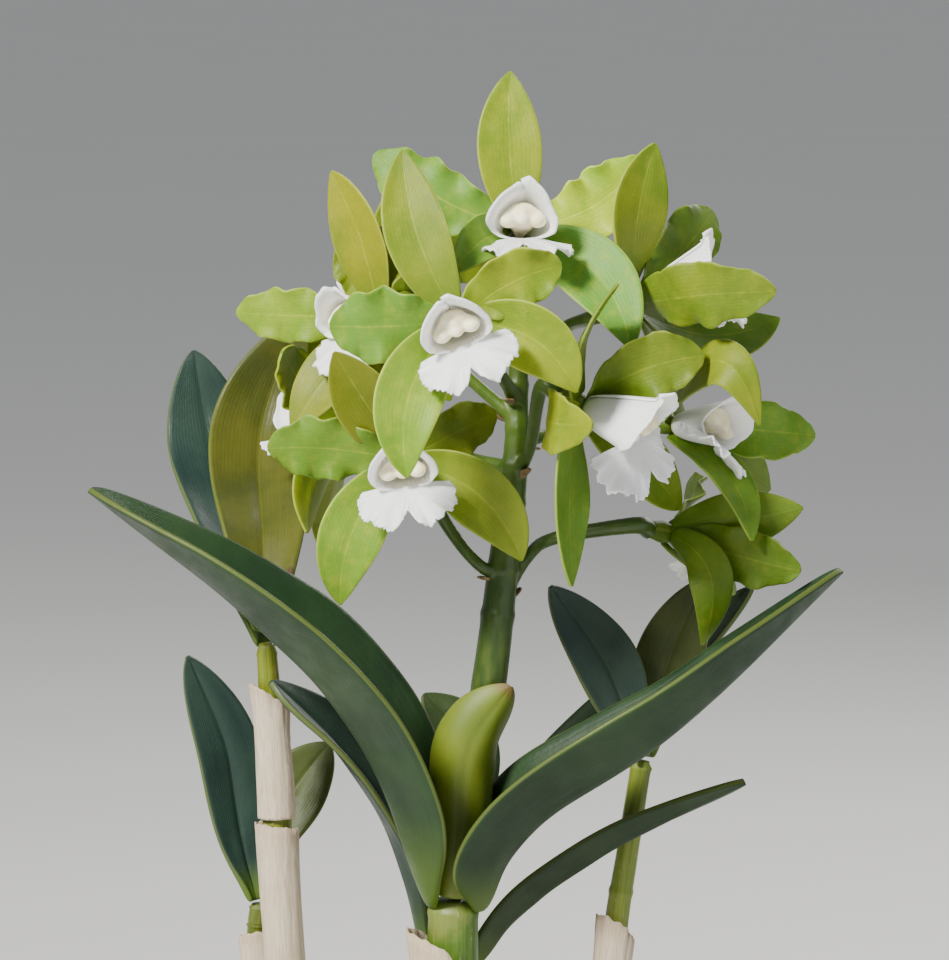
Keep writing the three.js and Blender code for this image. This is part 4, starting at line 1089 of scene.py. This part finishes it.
# Materials. Each is built from nodes, on the object's own coordinates or on the
# place that each blade and tube keeps for its surface.
class Recipe:
    """A material with the few kinds of node that the finishes are made of."""

    def __init__(self, name, roughness, specular=0.4, subsurface=0.0, scale=0.002, radius=(1, 1, 1)):
        self.material = bpy.data.materials.new(name)
        self.material.use_nodes = True
        self.tree = self.material.node_tree
        self.shader = self.tree.nodes["Principled BSDF"]
        self.shader.inputs["Roughness"].default_value = roughness
        self.shader.inputs["Specular IOR Level"].default_value = specular
        self.shader.inputs["Subsurface Weight"].default_value = subsurface
        self.shader.inputs["Subsurface Scale"].default_value = scale
        self.shader.inputs["Subsurface Radius"].default_value = radius

    def put(self, socket, value):
        if isinstance(value, bpy.types.NodeSocket):
            self.tree.links.new(value, socket)
        else:
            socket.default_value = value

    def node(self, kind, inputs=None, **settings):
        made = self.tree.nodes.new("ShaderNode" + kind)
        for key, value in settings.items():
            setattr(made, key, value)
        for key, value in (inputs or {}).items():
            self.put(made.inputs[key], value)
        return made

    def place(self):
        """Object coordinates, in millimetres."""
        source = self.node("TexCoord").outputs["Object"]
        return self.node("VectorMath", {0: source, "Scale": 1000.0}, operation="SCALE").outputs[0]

    def grain(self):
        return self.node("Attribute", attribute_name="grain").outputs["Vector"]

    def tone(self):
        source = self.node("Attribute", attribute_name="tone").outputs["Color"]
        return self.node("SeparateColor", {0: source}).outputs

    def split(self, vector):
        return self.node("SeparateXYZ", {0: vector}).outputs

    def vector(self, x, y, z):
        return self.node("CombineXYZ", {0: x, 1: y, 2: z}).outputs[0]

    def stretch(self, vector, factors):
        return self.node("VectorMath", {0: vector, 1: factors}, operation="MULTIPLY").outputs[0]

    def noise(self, vector, scale, detail=3.0, roughness=0.55):
        inputs = {"Vector": vector, "Scale": scale, "Detail": detail, "Roughness": roughness}
        return self.node("TexNoise", inputs).outputs["Fac"]

    def cells(self, vector, scale, feature="F1"):
        return self.node("TexVoronoi", {"Vector": vector, "Scale": scale}, feature=feature).outputs["Distance"]

    def sum(self, operation, a, b=0.0, c=0.0, clamped=False):
        made = self.node("Math", {0: a, 1: b, 2: c}, operation=operation, use_clamp=clamped)
        return made.outputs[0]

    def band(self, value, low, high, from_value=0.0, to_value=1.0):
        """A smooth step of a value between two limits."""
        made = self.node(
            "MapRange",
            {0: value, 1: low, 2: high, 3: from_value, 4: to_value},
            interpolation_type="SMOOTHSTEP",
        )
        return made.outputs[0]

    def mix(self, share, first, second, blend="MIX"):
        made = self.node("Mix", data_type="RGBA", blend_type=blend)
        for index, value in ((0, share), (6, first), (7, second)):
            if isinstance(value, tuple) and len(value) == 3:
                value = (*value, 1.0)
            self.put(made.inputs[index], value)
        return made.outputs[2]

    def times(self, first, second):
        return self.sum("MULTIPLY", first, second)

    def finish(self, colour, height=None, depth=0.1, roughness=None):
        """The colour, with a relief of a height in millimetres."""
        self.put(self.shader.inputs["Base Color"], colour)
        if height is not None:
            bump = self.node("Bump", {"Height": height, "Distance": depth * MM, "Strength": 1.0})
            self.put(self.shader.inputs["Normal"], bump.outputs[0])
        if roughness is not None:
            self.put(self.shader.inputs["Roughness"], roughness)
        return self.material


def vein_lines(recipe, across, count, wander):
    """Lines that run from root to tip, 1 on a line and 0 between."""
    wave = recipe.sum("SINE", recipe.sum("MULTIPLY_ADD", across, count * math.pi, wander))
    return recipe.sum("POWER", recipe.sum("ABSOLUTE", wave), 6.0)


def tepal_material(name, front):
    """Waxy sepal or petal: yellow-green with a fine pale margin and faint veins."""
    recipe = Recipe(name, 0.5, 0.22, 0.2, 0.0025, (0.5, 1.0, 0.1))
    place, grain = recipe.place(), recipe.grain()
    across, along_blade, _ = recipe.split(grain)
    yellow, light, brown = recipe.tone()[:3]
    edge = recipe.sum("ABSOLUTE", across)
    cloud = recipe.noise(place, 0.06, 3.0)
    mottle_and_dappled_light = recipe.noise(place, 0.3, 4.0)
    base = recipe.mix(yellow, (0.070, 0.215, 0.026), (0.215, 0.250, 0.002))
    # Painted dappled light and shade over the tepal's own mottling: the cloud noise darkens patches and the blotch
    # noise lightens others.
    base = recipe.mix(recipe.band(cloud, 0.4, 0.68, 0.0, 0.7), base, (0.080, 0.175, 0.004))
    base = recipe.mix(recipe.band(mottle_and_dappled_light, 0.45, 0.75, 0.0, 0.4), base, (0.26, 0.29, 0.02))
    base = recipe.mix(brown, base, (0.160, 0.125, 0.001))
    throat = recipe.band(along_blade, 0.0, 0.35, 0.55, 0.0)
    base = recipe.mix(throat, base, (0.065, 0.135, 0.003))
    wander = recipe.times(recipe.noise(place, 0.12, 2.0), 4.0)
    veins = vein_lines(recipe, across, 8.0, wander)
    base = recipe.mix(recipe.times(veins, 0.07), base, (0.05, 0.12, 0.005))
    rib = recipe.band(edge, 0.0, 0.045, 1.0, 0.0)
    rib = recipe.times(rib, recipe.band(mottle_and_dappled_light, 0.3, 0.65, 0.1, 0.5))
    base = recipe.mix(rib, base, (0.34, 0.38, 0.03))
    margin = recipe.band(edge, 0.965, 1.0)
    base = recipe.mix(recipe.times(margin, 0.4), base, (0.38, 0.42, 0.07))
    if not front:
        base = recipe.mix(0.35, base, (0.13, 0.22, 0.015))
    # Painted light and shade: the lightness in each tepal's tone scales its colour.
    shade = recipe.sum("MULTIPLY_ADD", light, 1.0, 0.35)
    speck = recipe.sum("MULTIPLY_ADD", recipe.noise(place, 0.9, 5.0), 0.24, 0.88)
    factor = recipe.times(shade, speck)
    base = recipe.mix(1.0, base, recipe.vector(factor, factor, factor), "MULTIPLY")
    relief = recipe.sum("MULTIPLY_ADD", veins, -0.3, recipe.noise(place, 1.6, 4.0))
    gloss = recipe.sum("MULTIPLY_ADD", mottle_and_dappled_light, 0.2, 0.4)
    return recipe.finish(base, relief, 0.06, gloss)


def lip_material(name, inside):
    """White lip, cream in its throat, with fine radial veins."""
    recipe = Recipe(name, 0.45, 0.3, 0.6, 0.0035, (1.0, 0.9, 0.7))
    place, grain = recipe.place(), recipe.grain()
    across, reach, _ = recipe.split(grain)
    cloud = recipe.noise(place, 0.16, 3.0)
    white = recipe.mix(recipe.band(cloud, 0.3, 0.75), (0.93, 0.95, 0.95), (0.96, 0.95, 0.92))
    if inside:
        cream = recipe.mix(recipe.noise(place, 0.3), (0.86, 0.72, 0.40), (0.90, 0.82, 0.60))
        deep = recipe.band(reach, 0.55, 1.25, 1.0, 0.0)
        white = recipe.mix(deep, white, cream)
        crease = recipe.sum(
            "MULTIPLY",
            recipe.band(recipe.sum("ABSOLUTE", across), 0.03, 0.14, 1.0, 0.0),
            recipe.band(reach, 1.2, 1.9, 1.0, 0.35),
        )
        white = recipe.mix(recipe.times(crease, 0.55), white, (0.80, 0.79, 0.48))
    else:
        # Painted lavender-grey shade on the outside of the hood, strongest near the hub.
        hood_shade = recipe.band(reach, 0.1, 0.8, 1.0, 0.15)
        white = recipe.mix(recipe.times(hood_shade, 0.45), white, (0.84, 0.78, 0.78))
        foot = recipe.band(reach, 0.0, 0.3, 1.0, 0.0)
        white = recipe.mix(recipe.times(foot, 0.7), white, (0.55, 0.66, 0.30))
    veins = vein_lines(recipe, across, 22.0, recipe.times(cloud, 1.5))
    white = recipe.mix(recipe.times(veins, 0.07), white, (0.72, 0.74, 0.68))
    relief = recipe.sum("MULTIPLY_ADD", veins, 0.6, recipe.noise(place, 1.2, 3.0))
    return recipe.finish(white, relief, 0.07)


def column_material():
    recipe = Recipe("cream_column", 0.4, 0.35, 0.4, 0.003, (1.0, 0.8, 0.5))
    place = recipe.place()
    colour = recipe.mix(recipe.band(recipe.noise(place, 0.3), 0.35, 0.7), (0.88, 0.79, 0.50), (0.90, 0.85, 0.68))
    return recipe.finish(colour, recipe.noise(place, 1.5, 3.0), 0.06)


def leaf_material(name, tint, spots=0.0, upper=True):
    """Leathery leaf: clouds, faint veins along it, a fine pale margin and keel."""
    recipe = Recipe(name, 0.5, 0.26, 0.03, 0.001, (0.4, 1.0, 0.2))
    place, grain = recipe.place(), recipe.grain()
    across, along_blade, seed = recipe.split(grain)
    edge = recipe.sum("ABSOLUTE", across)
    red, green, blue = tint
    cloud = recipe.noise(place, 0.035, 5.0, 0.6)
    dark, bright = (red * 0.7, green * 0.75, blue * 0.8), (red * 1.5, green * 1.3, blue * 1.1)
    base = recipe.mix(recipe.band(cloud, 0.32, 0.7), dark, bright)
    streak_place = recipe.vector(recipe.times(across, 12.0), recipe.times(along_blade, 3.0), seed)
    streak = recipe.noise(streak_place, 1.2, 4.0)
    base = recipe.mix(recipe.band(streak, 0.4, 0.8, 0.0, 0.25), base, (red * 1.9, green * 1.6, blue * 1.4))
    wander = recipe.times(recipe.noise(place, 0.05, 2.0), 3.0)
    veins = vein_lines(recipe, across, 13.0, wander)
    base = recipe.mix(recipe.times(veins, 0.1), base, (red * 0.55, green * 0.6, blue * 0.6))
    keel = recipe.band(edge, 0.004, 0.028, 1.0, 0.0)
    keel_colour = (red * 2.2 + 0.01, green * 1.8 + 0.015, blue * 1.4)
    base = recipe.mix(recipe.times(keel, 0.4 if upper else 0.7), base, keel_colour)
    margin = recipe.band(edge, 0.98, 1.0)
    base = recipe.mix(recipe.times(margin, 0.5), base, (0.11, 0.14, 0.02))
    foot = recipe.band(along_blade, 0.0, 0.24, 0.85, 0.0)
    base = recipe.mix(foot, base, (0.065, 0.12, 0.006))
    scar = recipe.cells(recipe.stretch(place, (0.06, 0.06, 0.045)), 1.0)
    scar = recipe.times(recipe.band(scar, 0.04, 0.10, 1.0, 0.0), spots)
    base = recipe.mix(scar, base, (0.05, 0.022, 0.01))
    if not upper:
        base = recipe.mix(0.4, base, (0.035, 0.065, 0.010))
    relief = recipe.sum("MULTIPLY_ADD", veins, -0.25, recipe.noise(place, 0.9, 5.0))
    gloss = recipe.band(recipe.noise(place, 0.12, 4.0), 0.3, 0.7, 0.42, 0.58)
    return recipe.finish(base, relief, 0.09, gloss)


def cane_material(name, tint):
    """Green cane: streaks along it, olive-brown patches and pale flecks of dull bloom."""
    recipe = Recipe(name, 0.42, 0.4, 0.04, 0.001, (0.5, 1.0, 0.2))
    place, grain = recipe.place(), recipe.grain()
    red, green, blue = tint
    streak = recipe.noise(recipe.stretch(grain, (3.0, 3.0, 2.0)), 2.2, 5.0)
    base = recipe.mix(
        recipe.band(streak, 0.3, 0.7), (red * 0.7, green * 0.75, blue * 0.8), (red * 1.35, green * 1.2, blue)
    )
    patch = recipe.band(recipe.noise(place, 0.06, 4.0), 0.52, 0.68)
    base = recipe.mix(recipe.times(patch, 0.45), base, (0.24, 0.24, 0.06))
    fleck = recipe.band(recipe.noise(recipe.stretch(place, (1.0, 1.0, 0.25)), 0.9, 4.0), 0.62, 0.74)
    base = recipe.mix(recipe.times(fleck, 0.35), base, (0.45, 0.42, 0.28))
    return recipe.finish(base, recipe.noise(recipe.stretch(grain, (9, 9, 3)), 3.0, 5.0), 0.12)


def sheath_material(name, outside):
    """Dry papery sheath: fibres along it, pale, with brown stains and a browner top edge."""
    recipe = Recipe(name, 0.72, 0.25, 0.06, 0.001, (1.0, 0.8, 0.5))
    place, grain = recipe.place(), recipe.grain()
    across, along_blade, length = recipe.split(grain)
    fibre_place = recipe.vector(recipe.times(across, 26.0), recipe.times(length, 0.05), 0.0)
    fibre = recipe.noise(fibre_place, 1.6, 6.0, 0.65)
    fine = recipe.noise(recipe.stretch(fibre_place, (3.0, 2.0, 1.0)), 2.2, 3.0)
    base = recipe.mix(recipe.band(fibre, 0.3, 0.72), (0.42, 0.34, 0.24), (0.76, 0.71, 0.62))
    base = recipe.mix(recipe.band(fine, 0.55, 0.75, 0.0, 0.6), base, (0.36, 0.27, 0.17))
    stain = recipe.band(recipe.noise(place, 0.07, 5.0), 0.45, 0.75)
    base = recipe.mix(recipe.times(stain, 0.5), base, (0.33, 0.24, 0.14))
    tip = recipe.band(along_blade, 0.9, 1.0)
    base = recipe.mix(recipe.times(tip, 0.45), base, (0.24, 0.15, 0.08))
    if not outside:
        base = recipe.mix(0.5, base, (0.48, 0.38, 0.25))
    return recipe.finish(base, recipe.sum("ADD", fibre, fine), 0.18)


def spathe_material(name, outside):
    recipe = Recipe(name, 0.45, 0.35, 0.12, 0.0015, (0.6, 1.0, 0.2))
    place, grain = recipe.place(), recipe.grain()
    across, along_blade, _ = recipe.split(grain)
    edge = recipe.sum("ABSOLUTE", across)
    cloud = recipe.band(recipe.noise(place, 0.06, 4.0), 0.3, 0.7)
    base = recipe.mix(cloud, (0.075, 0.128, 0.005), (0.155, 0.190, 0.010))
    veins = vein_lines(recipe, across, 24.0, recipe.times(recipe.noise(place, 0.08), 5.0))
    base = recipe.mix(recipe.times(veins, 0.08), base, (0.08, 0.13, 0.01))
    if not outside:
        base = recipe.mix(0.5, base, (0.13, 0.175, 0.02))
    rim = recipe.band(recipe.sum("MAXIMUM", edge, along_blade), 0.93, 0.99)
    base = recipe.mix(recipe.times(rim, 0.8), base, (0.15, 0.075, 0.025))
    return recipe.finish(base, recipe.sum("MULTIPLY_ADD", veins, 0.3, recipe.noise(place, 1.0)), 0.06)


def stalk_material():
    """Flower stalk, darker below and lighter green towards the blooms, both greens painted darker as shade."""
    recipe = Recipe("flower_stalk", 0.4, 0.4, 0.06, 0.001, (0.5, 1.0, 0.2))
    place = recipe.place()
    height = recipe.split(place)[2]
    towards_blooms = recipe.band(height, 330.0, 440.0)
    # Painted shade: both greens are darker than the stalk's own, the lower one most.
    base = recipe.mix(towards_blooms, (0.022, 0.050, 0.005), (0.055, 0.110, 0.008))
    cloud = recipe.noise(recipe.stretch(place, (1.0, 1.0, 0.3)), 0.35, 4.0)
    base = recipe.mix(recipe.band(cloud, 0.4, 0.75, 0.0, 0.45), base, (0.085, 0.12, 0.012))
    speck = recipe.band(recipe.noise(place, 1.1, 3.0), 0.66, 0.74)
    base = recipe.mix(recipe.times(speck, 0.4), base, (0.15, 0.18, 0.05))
    return recipe.finish(base, recipe.noise(recipe.stretch(place, (1, 1, 0.3)), 1.5, 3.0), 0.08)


def bract_material():
    recipe = Recipe("dry_bract", 0.65, 0.3)
    place = recipe.place()
    base = recipe.mix(recipe.band(recipe.noise(place, 0.5, 4.0), 0.35, 0.7), (0.13, 0.075, 0.03), (0.26, 0.19, 0.09))
    return recipe.finish(base, recipe.noise(place, 2.0, 4.0), 0.12)


def rhizome_material():
    """Rhizome and its roots: green under dry grey-brown scales."""
    recipe = Recipe("rhizome_skin", 0.7, 0.3)
    place = recipe.place()
    base = recipe.mix(recipe.band(recipe.noise(place, 0.12, 4.0), 0.4, 0.62), (0.20, 0.21, 0.08), (0.40, 0.35, 0.25))
    scale = recipe.band(recipe.noise(recipe.stretch(place, (1.0, 1.0, 0.4)), 0.9, 5.0), 0.5, 0.7)
    base = recipe.mix(recipe.times(scale, 0.6), base, (0.22, 0.14, 0.08))
    return recipe.finish(base, recipe.noise(place, 0.9, 5.0), 0.5)


def bark_material():
    """Fir bark: each chip its own brown, with pale breaks and dark clefts."""
    recipe = Recipe("fir_bark", 0.85, 0.25)
    place = recipe.place()
    warm, light = recipe.tone()[:2]
    base = recipe.mix(warm, (0.095, 0.050, 0.028), (0.235, 0.120, 0.060))
    base = recipe.mix(recipe.times(light, 0.5), base, (0.30, 0.20, 0.13))
    layers = recipe.noise(recipe.stretch(place, (0.25, 0.7, 1.4)), 0.8, 6.0, 0.65)
    base = recipe.mix(recipe.band(layers, 0.55, 0.72), base, (0.045, 0.025, 0.015))
    crumb = recipe.noise(place, 1.4, 5.0, 0.7)
    base = recipe.mix(recipe.band(crumb, 0.62, 0.8, 0.0, 0.5), base, (0.42, 0.30, 0.20))
    return recipe.finish(base, recipe.sum("MULTIPLY_ADD", layers, 1.5, crumb), 0.7)


def clay_material():
    """Unglazed clay: warm, mottled, with a pale mineral bloom and fine pits."""
    recipe = Recipe("unglazed_clay", 0.82, 0.28)
    place = recipe.place()
    z = recipe.split(place)[2]
    base = recipe.mix(recipe.band(recipe.noise(place, 0.02, 5.0), 0.3, 0.7), (0.42, 0.17, 0.085), (0.56, 0.25, 0.135))
    turning = recipe.noise(recipe.vector(0.0, 0.0, z), 0.55, 4.0)
    base = recipe.mix(recipe.band(turning, 0.35, 0.75, 0.0, 0.35), base, (0.36, 0.15, 0.08))
    rim = recipe.band(z, 60.0, 118.0, 0.12, 0.75)
    foot = recipe.band(z, 0.0, 26.0, 0.7, 0.0)
    wear = recipe.sum("MAXIMUM", rim, foot)
    salt = recipe.times(recipe.band(recipe.noise(place, 0.045, 8.0, 0.7), 0.5, 0.68), wear)
    base = recipe.mix(salt, base, (0.66, 0.55, 0.47))
    grit = recipe.noise(place, 1.6, 4.0, 0.7)
    base = recipe.mix(recipe.band(grit, 0.68, 0.78, 0.0, 0.5), base, (0.28, 0.11, 0.06))
    relief = recipe.sum("MULTIPLY_ADD", turning, 1.2, grit)
    return recipe.finish(base, relief, 0.22)


# How yellow, how light and how brown each tepal is. The lightness is painted light
# and shade: blooms farther back and tepals in shadow are darker, lit tepals lighter.
# Most follow their bloom, and some are paler and bluer, or darker, than the rest of it.
BLOOM_TONES = {
    "a": (0.80, 0.75, 0.10),
    "b": (0.80, 0.75, 0.08),
    "e": (0.70, 0.55, 0.15),
    "d": (0.90, 0.62, 0.30),
    "f": (0.80, 0.65, 0.15),
    "k": (0.65, 0.50, 0.15),
    "c": (0.70, 0.50, 0.10),
    "g": (0.60, 0.45, 0.10),
    "h": (0.50, 0.45, 0.05),
    "j": (0.45, 0.38, 0.05),
}
TEPAL_TONES = {
    ("a", "left_petal"): (0.20, 0.75, 0.0),
    ("a", "right_petal"): (0.80, 1.45, 0.0),
    ("a", "left_sepal"): (0.25, 0.80, 0.0),
    ("a", "right_sepal"): (0.12, 0.86, 0.0),
    ("b", "dorsal"): (0.66, 0.62, 0.2),
    ("b", "left_petal"): (0.22, 0.70, 0.0),
    ("b", "left_sepal"): (0.48, 0.86, 0.0),
    ("e", "dorsal"): (0.72, 0.38, 0.45),
    ("e", "left_petal"): (0.35, 0.55, 0.0),
    ("e", "right_petal"): (0.70, 0.36, 0.2),
    ("e", "left_sepal"): (0.42, 0.82, 0.0),
    ("d", "dorsal"): (1.00, 0.66, 0.35),
    ("d", "left_petal"): (0.60, 0.82, 0.0),
    ("c", "dorsal"): (0.82, 0.62, 0.1),
    ("c", "right_petal"): (0.40, 0.30, 0.0),
    ("c", "right_sepal"): (0.35, 0.34, 0.0),
    ("g", "left_petal"): (0.95, 0.62, 0.1),
    ("g", "left_sepal"): (0.28, 0.60, 0.0),
    ("g", "right_petal"): (0.62, 0.42, 0.1),
    ("h", "left_petal"): (0.75, 0.50, 0.15),
    ("h", "right_petal"): (0.30, 0.72, 0.0),
    ("h", "left_sepal"): (0.30, 0.58, 0.0),
}


def bloom_tone(number, key):
    name = list(BLOOMS)[number]
    if key == "hub":
        return (0.5, 0.3, 0.1)
    return TEPAL_TONES.get((name, key), BLOOM_TONES[name])


LEAF_TINTS = {
    "main_left": ((0.010, 0.032, 0.010), 0.1),
    "main_right": ((0.010, 0.032, 0.010), 0.0),
    "second_left": ((0.014, 0.032, 0.022), 0.0),
    "second_right": ((0.012, 0.030, 0.010), 0.0),
    "left_tall_a": ((0.014, 0.036, 0.030), 0.15),
    "left_tall_b": ((0.050, 0.062, 0.007), 0.9),
    "left_low_a": ((0.012, 0.032, 0.026), 0.1),
    "left_low_b": ((0.030, 0.048, 0.008), 0.3),
    "right_tall_a": ((0.018, 0.038, 0.030), 0.1),
    "right_tall_b": ((0.034, 0.048, 0.009), 0.2),
    "back_left": ((0.022, 0.042, 0.012), 0.1),
    "back_right": ((0.012, 0.032, 0.010), 0.1),
}
CANE_TINTS = {
    "cane_main": (0.055, 0.125, 0.008),
    "cane_second": (0.07, 0.12, 0.010),
    "cane_left_tall": (0.13, 0.17, 0.008),
    "cane_left_low": (0.08, 0.11, 0.010),
    "cane_right_tall": (0.12, 0.17, 0.012),
    "cane_back": (0.07, 0.11, 0.010),
}


def dress_pot():
    finish_piece(model_pot(), "clay", [clay_material()], "pot")
    finish_piece(model_bark(), "bark", [bark_material()], "bark_medium")
    finish_piece(model_rhizome(), "rhizome", [rhizome_material()], "rhizome")


def dress_canes():
    for name, tint in CANE_TINTS.items():
        cane = model_cane(name)
        cane.name = f"{name}_fine"
        finish_piece(cane, "cane", [cane_material(f"{name}_skin", tint)], name)
    sides = [sheath_material("sheath_inside", False), sheath_material("sheath_outside", True)]
    for name in SHEATHS:
        sheath = model_sheath(name)
        sheath.name = f"{name}_fine"
        finish_piece(sheath, "papery_sheath", sides, name)


def ready(blade):
    """A blade's points and directions as vectors."""
    return blade | dict(
        rib=[Vector(point) for point in blade["rib"]],
        face=[Vector(face).normalized() for face in blade["face"]],
    )


def dress_leaves():
    for number, (name, (tint, spots)) in enumerate(LEAF_TINTS.items()):
        leaf = LEAVES[name]
        foot = 0.6 if leaf["outline"] is STRAP else 1
        blade = ready(leaf) | dict(groove=0.7, unrest=0.8, seed=number * 3, foot=foot)
        rows = STRAP_ROWS if leaf["outline"] is STRAP else LEAF_ROWS
        piece = add_blade(f"leaf_{name}_fine", blade, rows, LEAF_COLUMNS, LEAF_THICK, 0.25)
        faces = [
            leaf_material(f"{name}_upper", tint, spots),
            leaf_material(f"{name}_under", tint, spots, upper=False),
        ]
        finish_piece(piece, "leaf", faces, f"leaf_{name}")


def dress_flower_stalk():
    blade = ready(SPATHE_BLADE) | dict(groove=-0.5, unrest=0.7, frill=0.15)
    spathe = add_blade("spathe_fine", blade, *SPATHE_GRID, SPATHE_THICK, 0.5)
    faces = [spathe_material("spathe_inside", False), spathe_material("spathe_outside", True)]
    finish_piece(spathe, "spathe", faces, "spathe")
    finish_piece(model_spray(), "flower_stalk", [stalk_material()], "flower_spray")
    finish_piece(model_bracts(), "flower_stalk", [bract_material()])


def dress_blooms():
    tepal_sides = [tepal_material("tepal_front", True), tepal_material("tepal_back", False)]
    lip_sides = [lip_material("lip_outside", False), lip_material("lip_inside", True)]
    cream = column_material()
    for number, (name, bloom) in enumerate(BLOOMS.items()):
        tepals = model_tepals(f"bloom_{name}_tepals_fine", bloom, number)
        finish_piece(tepals, "tepal", tepal_sides, f"bloom_{name}_tepals")
        lip = model_lip(f"bloom_{name}_lip_fine", bloom, number)
        finish_piece(lip, "lip", lip_sides, f"bloom_{name}_lip")
        column = model_column(f"bloom_{name}_column", bloom)
        finish_piece(column, "lip", [cream], f"bloom_{name}_lip")


# Floor, lights and camera.
def lay_floor():
    deselect()
    bpy.ops.mesh.primitive_plane_add(size=160)
    floor = bpy.context.active_object
    floor.name = "floor"
    recipe = Recipe("pale_floor", 0.9, 0.2)
    tint = recipe.mix(recipe.noise(recipe.place(), 0.002), (0.70, 0.70, 0.69), (0.73, 0.73, 0.72))
    floor.data.materials.append(recipe.finish(tint))


def add_light(name, place, aim, size, energy, colour):
    light = bpy.data.lights.new(name, "AREA")
    light.size = size
    light.energy = energy
    light.color = colour
    lamp = bpy.data.objects.new(name, light)
    bpy.context.collection.objects.link(lamp)
    lamp.location = place
    lamp.rotation_euler = (Vector(aim) - Vector(place)).to_track_quat("-Z", "Y").to_euler()


def light_studio():
    world = bpy.data.worlds.new("studio")
    bpy.context.scene.world = world
    world.use_nodes = True
    background = world.node_tree.nodes["Background"]
    background.inputs["Color"].default_value = (0.86, 0.88, 0.90, 1)
    background.inputs["Strength"].default_value = 0.45
    aim = (0, 0, 0.36)
    add_light("key", (-0.9, -1.15, 1.5), aim, 0.34, 92, (1.0, 0.97, 0.90))
    add_light("fill", (1.3, -1.2, 0.7), aim, 1.4, 7, (0.92, 0.96, 1.0))
    add_light("rim", (0.8, 1.4, 1.3), aim, 0.9, 20, (1.0, 0.98, 0.94))


def set_camera():
    data = bpy.data.cameras.new("camera")
    data.lens = CAMERA_LENS
    data.sensor_width = data.sensor_height = CAMERA_SENSOR
    data.clip_end = 400
    camera = bpy.data.objects.new("camera", data)
    bpy.context.collection.objects.link(camera)
    rise = math.radians(CAMERA_ELEVATION)
    back = Vector((0, -math.cos(rise), math.sin(rise)))
    camera.location = (CAMERA_TARGET + back * CAMERA_DISTANCE) * MM
    camera.rotation_euler = (-back).to_track_quat("-Z", "Y").to_euler()
    bpy.context.scene.camera = camera


set_camera()
light_studio()
lay_floor()
dress_pot()
dress_canes()
dress_leaves()
dress_flower_stalk()
dress_blooms()
